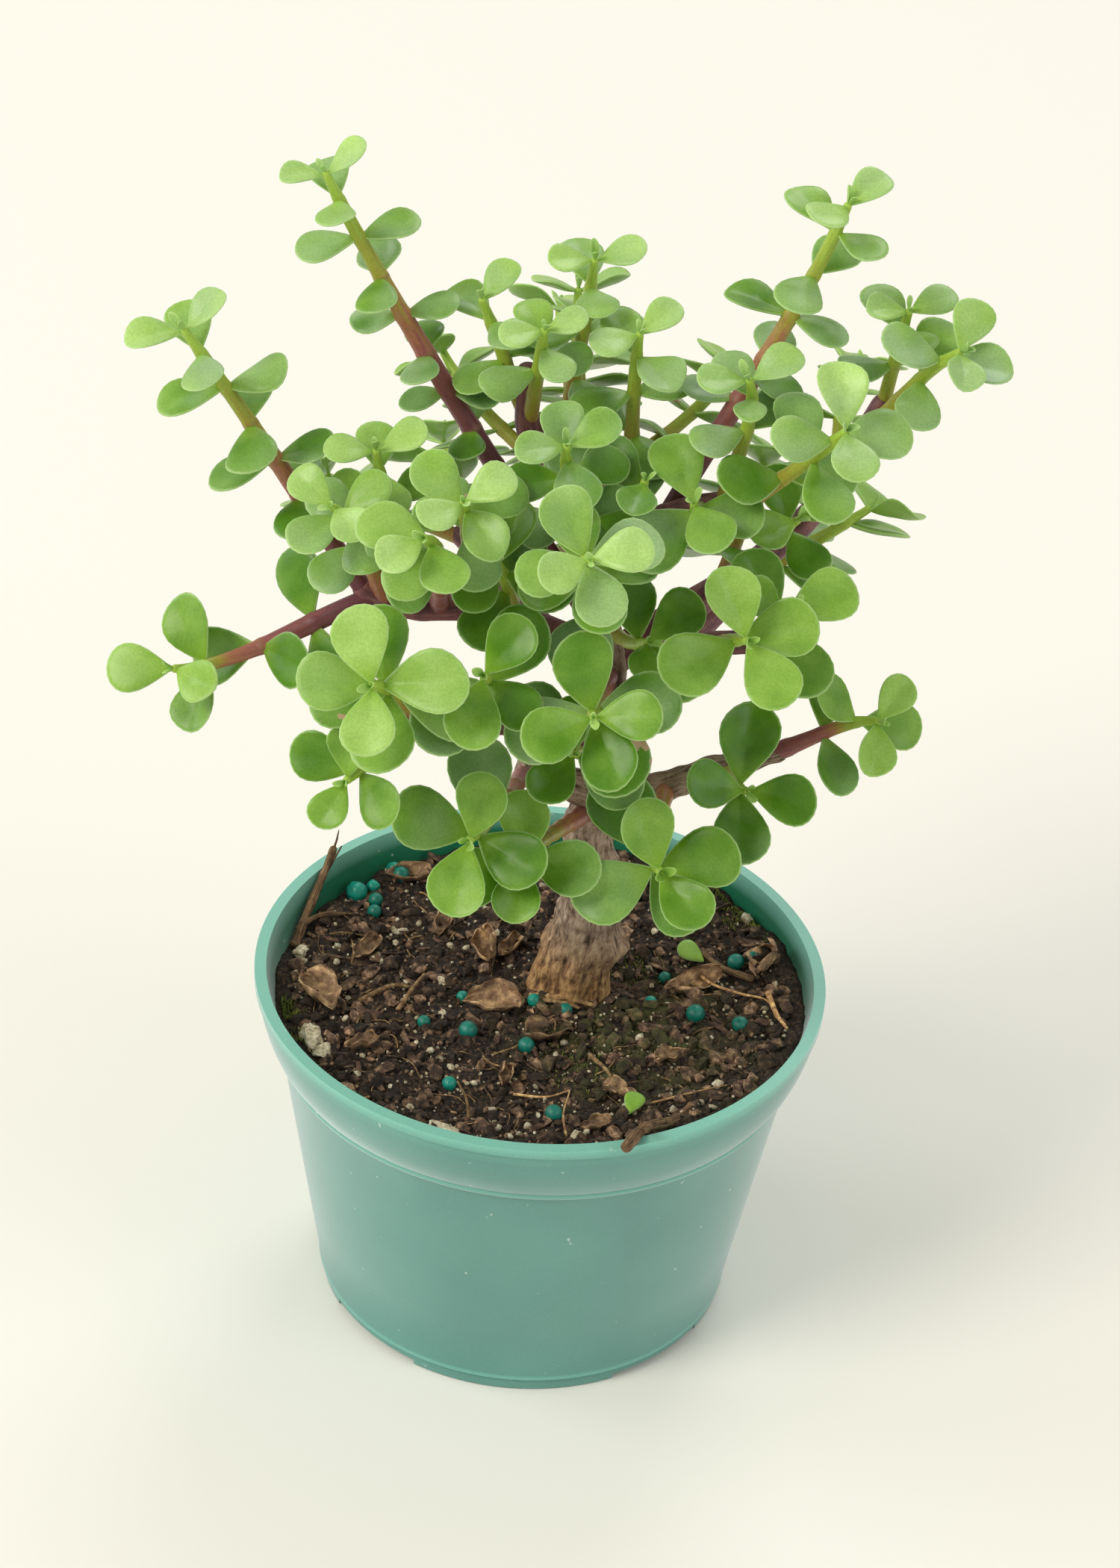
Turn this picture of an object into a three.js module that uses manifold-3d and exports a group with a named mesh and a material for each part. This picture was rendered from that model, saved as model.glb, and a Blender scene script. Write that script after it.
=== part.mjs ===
// A small-leaved jade plant in a round nursery pot.
// Millimetres, +Z up, origin at the centre of the pot's underside, front of the plant towards -Y.
import * as THREE from "three";
import { mergeVertices } from "three/addons/utils/BufferGeometryUtils.js";
import Module from "manifold-3d";

// ---- driving dimensions: pot ----
const POT_HEIGHT = 83;
const RIM_RADIUS = 63.5; // outside of the lip
const RIM_WIDTH = 2.6; // flat top of the lip
const LIP_HEIGHT = 2.2;
const LIP_OVERHANG = 0.7;
const COLLAR_HEIGHT = 17; // band below the rim
const COLLAR_FOOT_RADIUS = 58.6; // outside of the band at its lower edge
const COLLAR_FLARE = 0.17; // share of the band's flare in its top third
const SHOULDER = 0.9; // step from the band in to the side
const BASE_RADIUS = 47.2; // outside of the side at the foot
const WALL = 1.3;
const FLOOR = 1.4;
const FOOT_HEIGHT = 3.6;
const FOOT_INSET = 0.7; // the foot ring stands in from the side
const FOOT_WIDTH = 3.4;
const PAD_RADIUS = 9; // middle pad under the floor
const FOOT_NOTCHES = 4;
const NOTCH_LENGTH = 26;
const NOTCH_HEIGHT = 1.4;
const DRAIN_SLOTS = 8;
const SLOT_LENGTH = 9;
const SLOT_WIDTH = 3.4;
const SLOT_CENTRE_RADIUS = 33;
const POT_SIDES = 40;

// ---- driving dimensions: soil ----
const GAP = 0.3; // clearance between neighbouring solids
const SOIL_DROP = 9; // soil below the rim, on average
const SOIL_TILT = 0.016; // rise per mm towards the right front
const SOIL_MOUND = 1.6; // heap round the trunk
const MOUND_SPREAD = 14; // radius at which the heap has fallen to about a third
const SOIL_LUMP = 0.7; // unevenness
const LUMP_SPACING = 32; // from one lump to the next
const SOIL_RINGS = 5;
const SOIL_SIDES = 24;

// ---- driving dimensions: leaves and stems ----
const LEAF_ASPECT = 0.88; // width over length
const LEAF_THICKNESS = 2.0;
const LEAF_SPAN = 1.1; // every leaf's length is its shoot's leaf length times this
const LEAF_CLEARANCE = 1.9; // least distance between the middles of two leaves
const LIMB_SCALE = 1.0; // thickness of every limb and stem
const TRUNK_FLARE = 2.6; // how fast the trunk narrows above its foot
const LIMB_SIDES = 7;
const STEM_SIDES = 4;
const STEM_STEP = 8; // length of one straight stretch of a stem
const BARE_FOOT = 7; // no leaves this near a shoot's foot
const SHOOT_BASE_RADIUS = 1.7;
const SHOOT_TIP_RADIUS = 0.95;
const SHOOT_BOW = 0.3; // how far along its chord a shoot leaves its foot straight
const TIP_BOW = 0.35; // and how long it has already faced its own way at the tip
const PATH_STEP = 2.5; // spacing of the points that leaves keep clear of

const SOIL_TOP = POT_HEIGHT - SOIL_DROP; // the plant's own frame starts here, on the soil
const VIEW_UP = new THREE.Vector3(0, 0.565, 0.825); // from this axis a shoot's roll is counted
const FRONT_LIGHT = new THREE.Vector3(0, -0.65, 0.76); // the leaves turn their faces to the light
const BACK_LIGHT = new THREE.Vector3(0, 0.35, 0.94);
const LIGHT_PULL = 0.55;
const LIGHT_DIVIDE = 30; // shoots that end behind this Y turn to the back light
const TOP_LIGHT = new THREE.Vector3(0, -0.42, 0.91);
const HIGH_TIP = 140; // shoots that end over this height over the soil turn to the top light
const vec = (p) => new THREE.Vector3(p[0], p[1], p[2]);

// The limbs' and shoots' points are X, Y and height above the soil.
// Woody limbs: name, limb it grows from, points along its middle, radius at its foot and at its end.
const LIMBS = [
  ["trunk", "", [[6, 6, -8], [7, 5, 6], [10, 3, 26], [8, 2, 48], [11, 0, 66],
    [10, 0, 88], [7, 2, 106], [4, 3, 120]], 10.2, 3.6],
  ["branch_left", "trunk", [[9, 0, 92], [-4, 0, 98], [-18, -3, 104], [-32, -6, 105], [-42, -8, 110]], 3, 2.3],
  ["branch_front_left", "trunk", [[11, 0, 72], [-4, -8, 79], [-17, -17, 85], [-27, -30, 93],
    [-32, -42, 97]], 2.8, 1.8],
  ["stub_left", "trunk", [[10, 1, 56], [1, -1, 61], [-8, -3, 64]], 3.6, 2.9],
  ["branch_right_low", "trunk", [[9, 1, 56], [18, -4, 61], [34, -8, 71], [47, -6, 75]], 3.8, 2.2],
  ["branch_right", "trunk", [[7, 2, 110], [14, -3, 125], [26, -12, 137], [36, -14, 140]], 3.3, 2.4],
  ["branch_right_back", "trunk", [[9, 1, 90], [23, 4, 101], [43, 7, 118], [54, 10, 132], [62, 13, 150]], 3.2, 2],
  ["stub_top", "trunk", [[5, 3, 114], [-4, 7, 130], [-10, 8, 141], [-11, 8, 156]], 3.8, 1.8],
  ["branch_centre", "trunk", [[11, 0, 74], [16, -8, 89], [28, -18, 108], [40, -25, 114]], 2.7, 2],
  ["branch_back", "trunk", [[8, 1, 99], [4, 20, 112], [1, 38, 124]], 3, 2.1],
  ["branch_back_left", "trunk", [[9, 1, 82], [-8, 20, 90], [-24, 36, 98]], 2.9, 2],
  ["branch_back_right", "trunk", [[9, 2, 68], [24, 22, 78], [38, 40, 88]], 3, 2],
];

// Leafy shoots: name, limb it grows from, foot, tip, direction that the tip faces, roll of the end pair in
// degrees, pairs of leaves, distance between pairs, leaf length.
const SHOOTS = [
  ["centre_low", "trunk", [10, 0, 88], [7, -58, 115], [0, -0.85, 0.5], 20, 4, 9, 16],
  ["right_centre", "branch_centre", [32, -21, 111], [36, -45, 127], [0.3, -0.8, 0.5], -65, 2, 9, 16],
  ["front_left", "branch_front_left", [-27, -30, 93], [-36, -66, 124], [-0.2, -0.85, 0.5], 100, 4, 8, 16],
  ["centre_high", "trunk", [8, 2, 100], [4, -60, 152], [0.1, -0.85, 0.5], 22, 5, 9, 13],
  ["lower_front", "trunk", [8, 1, 52], [-5, -45, 70], [0, -0.85, 0.4], 90, 2, 5, 15.5],
  ["lower_right", "branch_right_low", [24, -6, 65], [23, -45, 70], [0.2, -0.8, 0.4], 120, 3, 6, 17],
  ["lower_left", "stub_left", [-6, -2, 63], [-16, -50, 78], [-0.2, -0.8, 0.3], 75, 3, 7, 16.5],
  ["left_far", "branch_left", [-40, -8, 108], [-79, -25, 98], [-0.7, -0.6, 0.35], 0, 4, 12, 14.5],
  ["right_far", "branch_right_low", [46, -6, 75], [67, -8, 86], [0.6, -0.7, 0.35], 70, 3, 8, 13],
  ["right_bright", "branch_right", [35, -14, 140], [52, -30, 167], [0.2, -0.65, 0.7], 95, 4, 9, 14],
  ["right_mid", "branch_centre", [39, -24, 113], [44, -30, 124], [0.5, -0.5, 0.7], 20, 3, 7, 16],
  ["left_twin_high", "branch_left", [-18, -3, 104], [-21, -42, 152], [0, -0.75, 0.65], 40, 4, 8, 12],
  ["left_twin_low", "branch_left", [-26, -5, 105], [-28, -48, 147], [-0.2, -0.8, 0.55], 50, 5, 8, 13],
  ["top_left", "trunk", [8, 1, 96], [-53, 5, 197], [-0.42, -0.1, 0.9], 40, 8, 9.5, 11],
  ["top_right", "branch_right", [19, -7, 131], [50, 5, 198], [0.25, -0.1, 0.95], 35, 6, 10, 12],
  ["left_high", "branch_left", [-42, -8, 110], [-79, -10, 168], [-0.5, -0.2, 0.85], 40, 6, 9.5, 12.5],
  ["left_inner", "branch_left", [-37, -7, 107], [-47, -32, 143], [-0.3, -0.7, 0.6], -40, 4, 8, 11.5],
  ["left_pale", "branch_left", [-30, -6, 105], [-40, -14, 146], [-0.1, -0.3, 0.95], 20, 3, 9, 11.5],
  ["right_outer", "branch_right_back", [62, 13, 149], [65, 12, 172], [0.1, -0.3, 0.95], 20, 3, 8, 11],
  ["right_end", "branch_right_back", [60, 12, 145], [75, 0, 170], [0.5, -0.5, 0.6], 75, 3, 8, 13],
  ["top_middle", "stub_top", [-4, 7, 130], [1, 15, 177], [0.05, -0.25, 0.97], 10, 4, 10, 12],
  ["top_inner_left", "stub_top", [-9, 8, 139], [-21, 8, 170], [-0.3, -0.3, 0.9], 60, 3, 9, 11.5],
  ["top_inner", "stub_top", [-10, 8, 143], [-8, -5, 171], [0.05, -0.4, 0.9], 20, 3, 8, 10.5],
  ["top_inner_right", "branch_right", [12, -1, 122], [11, 0, 169], [0.05, -0.3, 0.95], 30, 4, 9, 12],
  ["middle_pale", "trunk", [6, 3, 112], [-2, -26, 157], [0, -0.5, 0.85], 20, 5, 8, 12],
  ["right_upper", "branch_right", [30, -13, 138], [33, -16, 169], [-0.3, -0.4, 0.85], 30, 3, 8, 12],
  ["right_inner", "branch_right", [26, -12, 137], [24, -26, 146], [-0.1, -0.6, 0.75], 130, 2, 8, 16],
  ["lower_right_big", "branch_right_low", [36, -8, 71], [40, -27, 79], [0.3, -0.8, 0.5], 0, 2, 7, 16],
  ["left_hanging", "branch_front_left", [-31, -40, 96], [-41, -55, 94], [-0.3, -0.8, 0.2], 60, 3, 7, 13],
  ["left_deep", "branch_front_left", [-17, -17, 85], [-15, -52, 119], [-0.1, -0.8, 0.6], 60, 3, 9, 16],
  ["right_back_low", "branch_right_back", [43, 7, 118], [46, -4, 131], [0.4, -0.5, 0.7], 20, 3, 8, 13],
  ["inner_front", "trunk", [9, 1, 98], [17, -26, 113], [0.3, -0.7, 0.6], 40, 2, 8, 14],
  ["inner_left", "branch_left", [-10, -1, 100], [-14, -26, 129], [-0.2, -0.6, 0.75], 70, 3, 9, 14],
  ["inner_low", "trunk", [11, 0, 66], [4, -34, 90], [0, -0.85, 0.5], 60, 2, 8, 15],
  ["inner_high", "branch_right", [16, -5, 128], [14, -22, 148], [0.1, -0.5, 0.85], 60, 3, 8, 13],
  ["back_top", "branch_back", [2, 30, 119], [-2, 46, 154], [0, 0.1, 0.99], 10, 4, 9, 12.5],
  ["back_high", "branch_back", [1, 37, 123], [-6, 68, 138], [-0.1, 0.75, 0.65], 30, 5, 8, 14],
  ["back_high_left", "branch_back", [3, 24, 114], [-30, 48, 136], [-0.5, 0.5, 0.7], 15, 5, 8, 13],
  ["back_high_right", "branch_back", [3, 26, 116], [32, 50, 136], [0.5, 0.5, 0.7], 50, 5, 8, 13],
  ["back_left", "branch_back_left", [-22, 35, 97], [-54, 44, 106], [-0.8, 0.4, 0.4], 25, 5, 9, 14],
  ["back_left_low", "branch_back_left", [-18, 31, 95], [-30, 72, 100], [-0.3, 0.8, 0.4], 60, 5, 8, 14.5],
  ["back_low", "branch_back_left", [-8, 20, 90], [4, 66, 96], [0.1, 0.85, 0.4], 35, 4, 8, 15],
  ["back_right_low", "branch_back_right", [30, 30, 82], [44, 72, 104], [0.3, 0.8, 0.4], 15, 5, 8, 14.5],
  ["back_right", "branch_back_right", [37, 39, 88], [64, 42, 108], [0.8, 0.3, 0.5], 40, 5, 9, 14],
  ["back_right_high", "branch_right_back", [54, 10, 132], [58, 42, 142], [0.4, 0.6, 0.7], 20, 4, 8, 13],
];

// How the leaves of a shoot change from its tip down: share of the leaf length, and rise towards the tip.
const PAIR_SIZE = [0.88, 1, 1.05, 1.05, 1, 0.95];
const PAIR_RISE = [34, 22, 12, 6, 2, 0];
const FIRST_PAIR_SHIFT = 0.35; // the second pair sits closer to the tip by this share of the spacing
const FIRST_PAIR_BACK = 0.2; // end pair's distance from the tip

// How far one leaf differs from the next, from end to end of the range.
const TURN_SPREAD = 16;
const RISE_SPREAD = 14;
const SIZE_SPREAD = 0.16;
const CURL_SPREAD = 0.12;

// A leaf that would touch its neighbours is turned, lifted or smaller; one with no room doesn't grow.
const LEAF_TRIES = [
  [0, 0, 1], [0, 18, 1], [0, -18, 1], [16, 0, 1], [-16, 0, 1], [16, 18, 1], [16, -18, 1], [-16, 18, 1],
  [-16, -18, 1], [0, 0, 0.82], [28, 0, 0.82], [-28, 0, 0.82], [0, 32, 0.82], [0, -32, 0.82],
  [28, 28, 0.7], [28, -28, 0.7], [-28, 28, 0.7], [-28, -28, 0.7], [0, 0, 0.62], [38, 0, 0.62],
];

// ---- solids ----
const wasm = await Module();
wasm.setup();

function solidOf(geometry) {
  const bare = geometry.clone();
  bare.deleteAttribute("normal");
  bare.deleteAttribute("uv");
  const merged = mergeVertices(bare, 1e-4);
  return new wasm.Manifold(
    new wasm.Mesh({
      numProp: 3,
      vertProperties: new Float32Array(merged.attributes.position.array),
      triVerts: new Uint32Array(merged.index.array),
    }),
  );
}

function geometryOf(solid) {
  const mesh = solid.getMesh();
  const geometry = new THREE.BufferGeometry();
  geometry.setAttribute("position", new THREE.BufferAttribute(mesh.vertProperties, 3));
  geometry.setIndex(new THREE.BufferAttribute(mesh.triVerts, 1));
  geometry.computeVertexNormals();
  return geometry;
}

function largestBody(solid) {
  const bodies = solid.decompose();
  return bodies.reduce((a, b) => (b.volume() > a.volume() ? b : a));
}

// ---- pot ----
const SHOULDER_Z = POT_HEIGHT - COLLAR_HEIGHT;

function potInnerRadius(z) {
  const sideTop = COLLAR_FOOT_RADIUS - SHOULDER;
  if (z >= SHOULDER_Z) {
    const share = (z - SHOULDER_Z) / COLLAR_HEIGHT;
    return sideTop - WALL + (RIM_RADIUS - RIM_WIDTH - sideTop + WALL) * share;
  }
  const share = (z - FOOT_HEIGHT) / (SHOULDER_Z - FOOT_HEIGHT);
  return BASE_RADIUS - WALL + (sideTop - BASE_RADIUS) * share;
}

function potProfile() {
  const lipZ = POT_HEIGHT - LIP_HEIGHT;
  const floorZ = FOOT_HEIGHT - FLOOR;
  const footRadius = BASE_RADIUS - FOOT_INSET;
  const lipFoot = RIM_RADIUS - LIP_OVERHANG;
  return [
    [0, 0],
    [PAD_RADIUS, 0],
    [PAD_RADIUS, floorZ],
    [footRadius - FOOT_WIDTH, floorZ],
    [footRadius - FOOT_WIDTH, 0],
    [footRadius, 0],
    [footRadius, FOOT_HEIGHT - FOOT_INSET],
    [BASE_RADIUS, FOOT_HEIGHT],
    [COLLAR_FOOT_RADIUS - SHOULDER, SHOULDER_Z - SHOULDER],
    [COLLAR_FOOT_RADIUS, SHOULDER_Z],
    [lipFoot - COLLAR_FLARE * (lipFoot - COLLAR_FOOT_RADIUS), (SHOULDER_Z + 2 * lipZ) / 3],
    [lipFoot, lipZ],
    [RIM_RADIUS, lipZ],
    [RIM_RADIUS, POT_HEIGHT],
    [RIM_RADIUS - RIM_WIDTH, POT_HEIGHT],
    [potInnerRadius(SHOULDER_Z), SHOULDER_Z],
    [potInnerRadius(FOOT_HEIGHT), FOOT_HEIGHT],
    [0, FOOT_HEIGHT],
  ].map(([r, z]) => new THREE.Vector2(r, z));
}

function ringOfBoxes(count, length, width, height, radius, z) {
  return Array.from({ length: count }, (_, i) => {
    const box = new THREE.BoxGeometry(length, width, height);
    box.translate(radius, 0, z);
    box.rotateZ((2 * Math.PI * (i + 0.5)) / count);
    return solidOf(box);
  });
}

function potSolid() {
  const shell = new THREE.LatheGeometry(potProfile(), POT_SIDES).rotateX(Math.PI / 2);
  const footRadius = BASE_RADIUS - FOOT_INSET;
  const notches = ringOfBoxes(
    FOOT_NOTCHES, 3 * FOOT_WIDTH, NOTCH_LENGTH, 2 * NOTCH_HEIGHT, footRadius - FOOT_WIDTH / 2, 0);
  const slots = ringOfBoxes(DRAIN_SLOTS, SLOT_LENGTH, SLOT_WIDTH, 4 * FOOT_HEIGHT, SLOT_CENTRE_RADIUS, 0);
  return [...notches, ...slots].reduce((pot, cutter) => pot.subtract(cutter), solidOf(shell));
}

// ---- soil ----
// Height of the soil over its average level.
function soilHeight(x, y) {
  const [trunkX, trunkY] = LIMBS[0][2][0];
  const away = Math.hypot(x - trunkX, y - trunkY) / MOUND_SPREAD;
  const wave = (2 * Math.PI) / LUMP_SPACING;
  const lumps = SOIL_LUMP * Math.sin(wave * x + 1) * Math.cos(0.8 * wave * y);
  return SOIL_TILT * (x - y) + SOIL_MOUND * Math.exp(-away * away) + lumps;
}

// The soil fills the pot's many-sided inside, clear of the middles of its flat sides.
const soilRadius = (z) => potInnerRadius(z) * Math.cos(Math.PI / POT_SIDES) - GAP;

// The root ball, in the plant's own frame, with room for the trunk.
function soilSolid(trunk) {
  const bottom = FOOT_HEIGHT + GAP;
  const edge = soilRadius(SOIL_TOP);
  const profile = [new THREE.Vector2(0, bottom)];
  profile.push(new THREE.Vector2(soilRadius(bottom), bottom));
  profile.push(new THREE.Vector2(soilRadius(SHOULDER_Z), SHOULDER_Z));
  for (let ring = SOIL_RINGS; ring >= 0; ring--) {
    profile.push(new THREE.Vector2((edge * ring) / SOIL_RINGS, SOIL_TOP));
  }
  const ball = new THREE.LatheGeometry(profile, SOIL_SIDES).rotateX(Math.PI / 2).translate(0, 0, -SOIL_TOP);
  const points = ball.attributes.position;
  for (let i = 0; i < points.count; i++) {
    if (points.getZ(i) > -0.01) {
      const height = soilHeight(points.getX(i), points.getY(i));
      const fit = soilRadius(SOIL_TOP + height) / edge;
      points.setXYZ(i, points.getX(i) * fit, points.getY(i) * fit, height);
    }
  }
  return solidOf(ball).subtract(trunk);
}

// ---- limbs and stems ----
function curveOf(points) {
  return new THREE.CatmullRomCurve3(points.map(vec), false, "centripetal");
}

function rodRadius(rod, share) {
  return rod.end + (rod.foot - rod.end) * Math.pow(1 - share, rod.flare);
}

// A tapered rod bent along its curve, or the same rod made larger all round by a gap.
function rodSolid(rod, gap = 0) {
  const steps = Math.max(4, Math.round(rod.curve.getLength() / STEM_STEP));
  const straight = new THREE.CylinderGeometry(1, 1, 1, rod.sides, steps);
  const frames = rod.curve.computeFrenetFrames(steps, false);
  const spots = straight.attributes.position;
  for (let i = 0; i < spots.count; i++) {
    const step = Math.round((spots.getY(i) + 0.5) * steps);
    const radius = rodRadius(rod, step / steps) + gap;
    const overrun = step === 0 ? -gap : step === steps ? gap : 0;
    const spot = rod.curve.getPointAt(step / steps);
    spot.addScaledVector(frames.tangents[step], overrun);
    spot.addScaledVector(frames.normals[step], radius * spots.getX(i));
    spot.addScaledVector(frames.binormals[step], -radius * spots.getZ(i));
    spots.setXYZ(i, spot.x, spot.y, spot.z);
  }
  return solidOf(straight);
}

function limbOf([name, parent, points, footRadius, endRadius]) {
  return {
    name, parent, curve: curveOf(points), foot: footRadius * LIMB_SCALE, end: endRadius * LIMB_SCALE,
    flare: parent ? 1 : TRUNK_FLARE, sides: LIMB_SIDES,
  };
}

function shootOf([name, parent, foot, tip, aim, roll, pairs, spacing, leaf]) {
  const [a, d, way] = [vec(foot), vec(tip), vec(aim).normalize()];
  const reach = a.distanceTo(d);
  const b = a.clone().lerp(d, SHOOT_BOW);
  const c = d.clone().addScaledVector(way, -TIP_BOW * reach);
  return {
    name: "shoot_" + name, parent, roll, pairs, spacing, leaf,
    light: tip[1] > LIGHT_DIVIDE ? BACK_LIGHT : tip[2] > HIGH_TIP ? TOP_LIGHT : FRONT_LIGHT,
    curve: new THREE.CubicBezierCurve3(a, b, c, d),
    foot: SHOOT_BASE_RADIUS * LIMB_SCALE, end: SHOOT_TIP_RADIUS * LIMB_SCALE,
    flare: 1, sides: STEM_SIDES,
  };
}

// ---- leaves ----
// Half a leaf's width at a share u of its length, over its length: an oval, fuller towards the tip.
const halfWidth = (u) => LEAF_ASPECT * Math.sqrt(Math.max(0, u * (1 - u))) * (0.6 + 0.55 * u);

// An even scatter from -0.5 to 0.5, the same each time for the same number.
const jitter = (n) => ((n * 62) % 97) / 97 - 0.5;

function leafFrame(base, tangent, side, light, rise, spin, length, curl) {
  const out = side.clone().applyAxisAngle(tangent, THREE.MathUtils.degToRad(spin));
  const a = THREE.MathUtils.degToRad(rise);
  const along = out.clone().multiplyScalar(Math.cos(a)).addScaledVector(tangent, Math.sin(a));
  const face = tangent.clone().multiplyScalar(Math.cos(a)).addScaledVector(out, -Math.sin(a));
  face.lerp(light, LIGHT_PULL).normalize();
  along.addScaledVector(face, -along.dot(face)).normalize();
  return { base, along, face, across: face.clone().cross(along), length, curl };
}

function leafPoint(leaf, u, v, w) {
  return leaf.base.clone()
    .addScaledVector(leaf.along, u * leaf.length)
    .addScaledVector(leaf.across, v * halfWidth(u) * leaf.length)
    .addScaledVector(leaf.face, w + leaf.curl * leaf.length * u * u);
}

function leafSamples(leaf) {
  const samples = [];
  for (const u of [0.3, 0.45, 0.6, 0.75, 0.9, 1]) {
    for (const v of u < 1 ? [-0.95, -0.5, 0, 0.5, 0.95] : [0]) samples.push(leafPoint(leaf, u, v, 0));
  }
  return samples;
}

// True when a point comes within reach of a leaf's blade.
function nearBlade(leaf, point, reach) {
  const from = point.clone().sub(leaf.base);
  const u = from.dot(leaf.along) / leaf.length;
  if (u < 0.15 || u > 1 + reach / leaf.length) return false;
  const w = from.dot(leaf.face) - leaf.curl * leaf.length * u * u;
  if (Math.abs(w) > reach) return false;
  const edge = halfWidth(Math.min(u, 0.97)) * leaf.length + 0.4 * reach;
  return Math.abs(from.dot(leaf.across)) < edge;
}

function leafFits(leaf, leaves, rods, own) {
  const samples = leafSamples(leaf);
  const touches = leaves.some((other) =>
    samples.some((p) => nearBlade(other, p, LEAF_CLEARANCE)) ||
    other.samples.some((p) => nearBlade(leaf, p, LEAF_CLEARANCE)));
  if (touches) return false;
  return !rods.some((rod) => rod.name !== own &&
    rod.samples.some(({ at, radius }) => nearBlade(leaf, at, radius + LEAF_THICKNESS / 2 + GAP)));
}

function growLeaves(shoots, rods) {
  const leaves = [];
  shoots.forEach((shoot, index) => {
    const length = shoot.curve.getLength();
    for (let pair = 0; pair < shoot.pairs; pair++) {
      const back = pair === 0 ? FIRST_PAIR_BACK : shoot.spacing * (pair - FIRST_PAIR_SHIFT);
      if (back > length - BARE_FOOT) break;
      const t = 1 - back / length;
      const stage = Math.min(pair, PAIR_SIZE.length - 1);
      const tangent = shoot.curve.getTangentAt(t);
      const right = VIEW_UP.clone().cross(tangent).normalize();
      for (const half of [0, 1]) {
        const seed = 17 * index + 2 * pair + half;
        const turn = shoot.roll + 90 * pair + 180 * half + TURN_SPREAD * jitter(seed);
        const side = right.clone().applyAxisAngle(tangent, THREE.MathUtils.degToRad(turn));
        const rise = PAIR_RISE[stage] + RISE_SPREAD * jitter(seed + 4);
        const size = LEAF_SPAN * shoot.leaf * PAIR_SIZE[stage] * (1 + SIZE_SPREAD * jitter(seed + 8));
        const curl = CURL_SPREAD * jitter(seed + 12);
        const base = shoot.curve.getPointAt(t);
        for (const [lift, spin, scale] of LEAF_TRIES) {
          const leaf = leafFrame(base, tangent, side, shoot.light, rise + lift, spin, size * scale, curl);
          if (leafFits(leaf, leaves, rods, shoot.name)) {
            leaves.push({ ...leaf, shoot: shoot.name, samples: leafSamples(leaf) });
            break;
          }
        }
      }
    }
  });
  return leaves;
}

// A leaf is a lens: a rim of six corners, with one high point above and one below.
function leafSolid(leaf) {
  const lens = new THREE.SphereGeometry(1, 6, 2);
  const spots = lens.attributes.position;
  for (let i = 0; i < spots.count; i++) {
    const [x, y, z] = [spots.getX(i), spots.getY(i), spots.getZ(i)];
    const onRim = Math.abs(y) < 0.5;
    const u = onRim ? (1 - x) / 2 : 0.55;
    const v = onRim ? Math.sign(Math.abs(z) < 1e-6 ? 0 : z) : 0;
    const w = onRim ? 0 : (y * LEAF_THICKNESS) / 2;
    const spot = leafPoint(leaf, u, v, w);
    spots.setXYZ(i, spot.x, spot.y, spot.z);
  }
  return solidOf(lens);
}

function rodSamples(rod) {
  const count = Math.ceil(rod.curve.getLength() / PATH_STEP);
  return Array.from({ length: count + 1 }, (_, i) => ({
    at: rod.curve.getPointAt(i / count),
    radius: rodRadius(rod, i / count),
  }));
}

// ---- assembly ----
const COLOURS = {
  pot: [0x6fa096, 0.45],
  soil: [0x3a2c26, 1],
  bark: [0x8b7665, 0.9],
  limb: [0x6b3b43, 0.7],
  leaf: [0x6fae4a, 0.45],
};

function meshOf(name, solid, finish) {
  const [color, roughness] = COLOURS[finish];
  const material = new THREE.MeshStandardMaterial({ color, roughness, metalness: 0 });
  const mesh = new THREE.Mesh(geometryOf(solid), material);
  mesh.name = name;
  return mesh;
}

const limbs = LIMBS.map(limbOf);
const shoots = SHOOTS.map(shootOf);
const rods = [...limbs, ...shoots].map((rod) => ({ ...rod, samples: rodSamples(rod) }));
const leaves = growLeaves(shoots, rods);

const grown = new Map(limbs.map((limb) => [limb.name, rodSolid(limb, GAP)]));

const plant = new THREE.Group();
plant.position.z = SOIL_TOP;
plant.add(meshOf("soil", soilSolid(grown.get("trunk")), "soil"));
for (const limb of limbs) {
  let solid = rodSolid(limb);
  if (limb.parent) solid = largestBody(solid.subtract(grown.get(limb.parent)));
  plant.add(meshOf(limb.name, solid, limb.parent ? "limb" : "bark"));
}
for (const shoot of shoots) {
  let solid = largestBody(rodSolid(shoot).subtract(grown.get(shoot.parent)));
  for (const leaf of leaves.filter((one) => one.shoot === shoot.name)) solid = solid.add(leafSolid(leaf));
  plant.add(meshOf(shoot.name, solid, "leaf"));
}

const pottedPlant = new THREE.Group();
pottedPlant.add(meshOf("pot", potSolid(), "pot"), plant);

export default pottedPlant;
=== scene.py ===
"""Looks of a small-leaved jade plant in a round nursery pot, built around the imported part.

Tables and sizes are in millimetres, and a piece is turned to metres when it is finished. The plant has a
frame of its own, which starts on the soil in the middle of the pot, as it does in the part.
"""
import math
import random
from functools import partial

import bmesh
import bpy
import numpy as np
from mathutils import Matrix, Vector, noise


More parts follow.
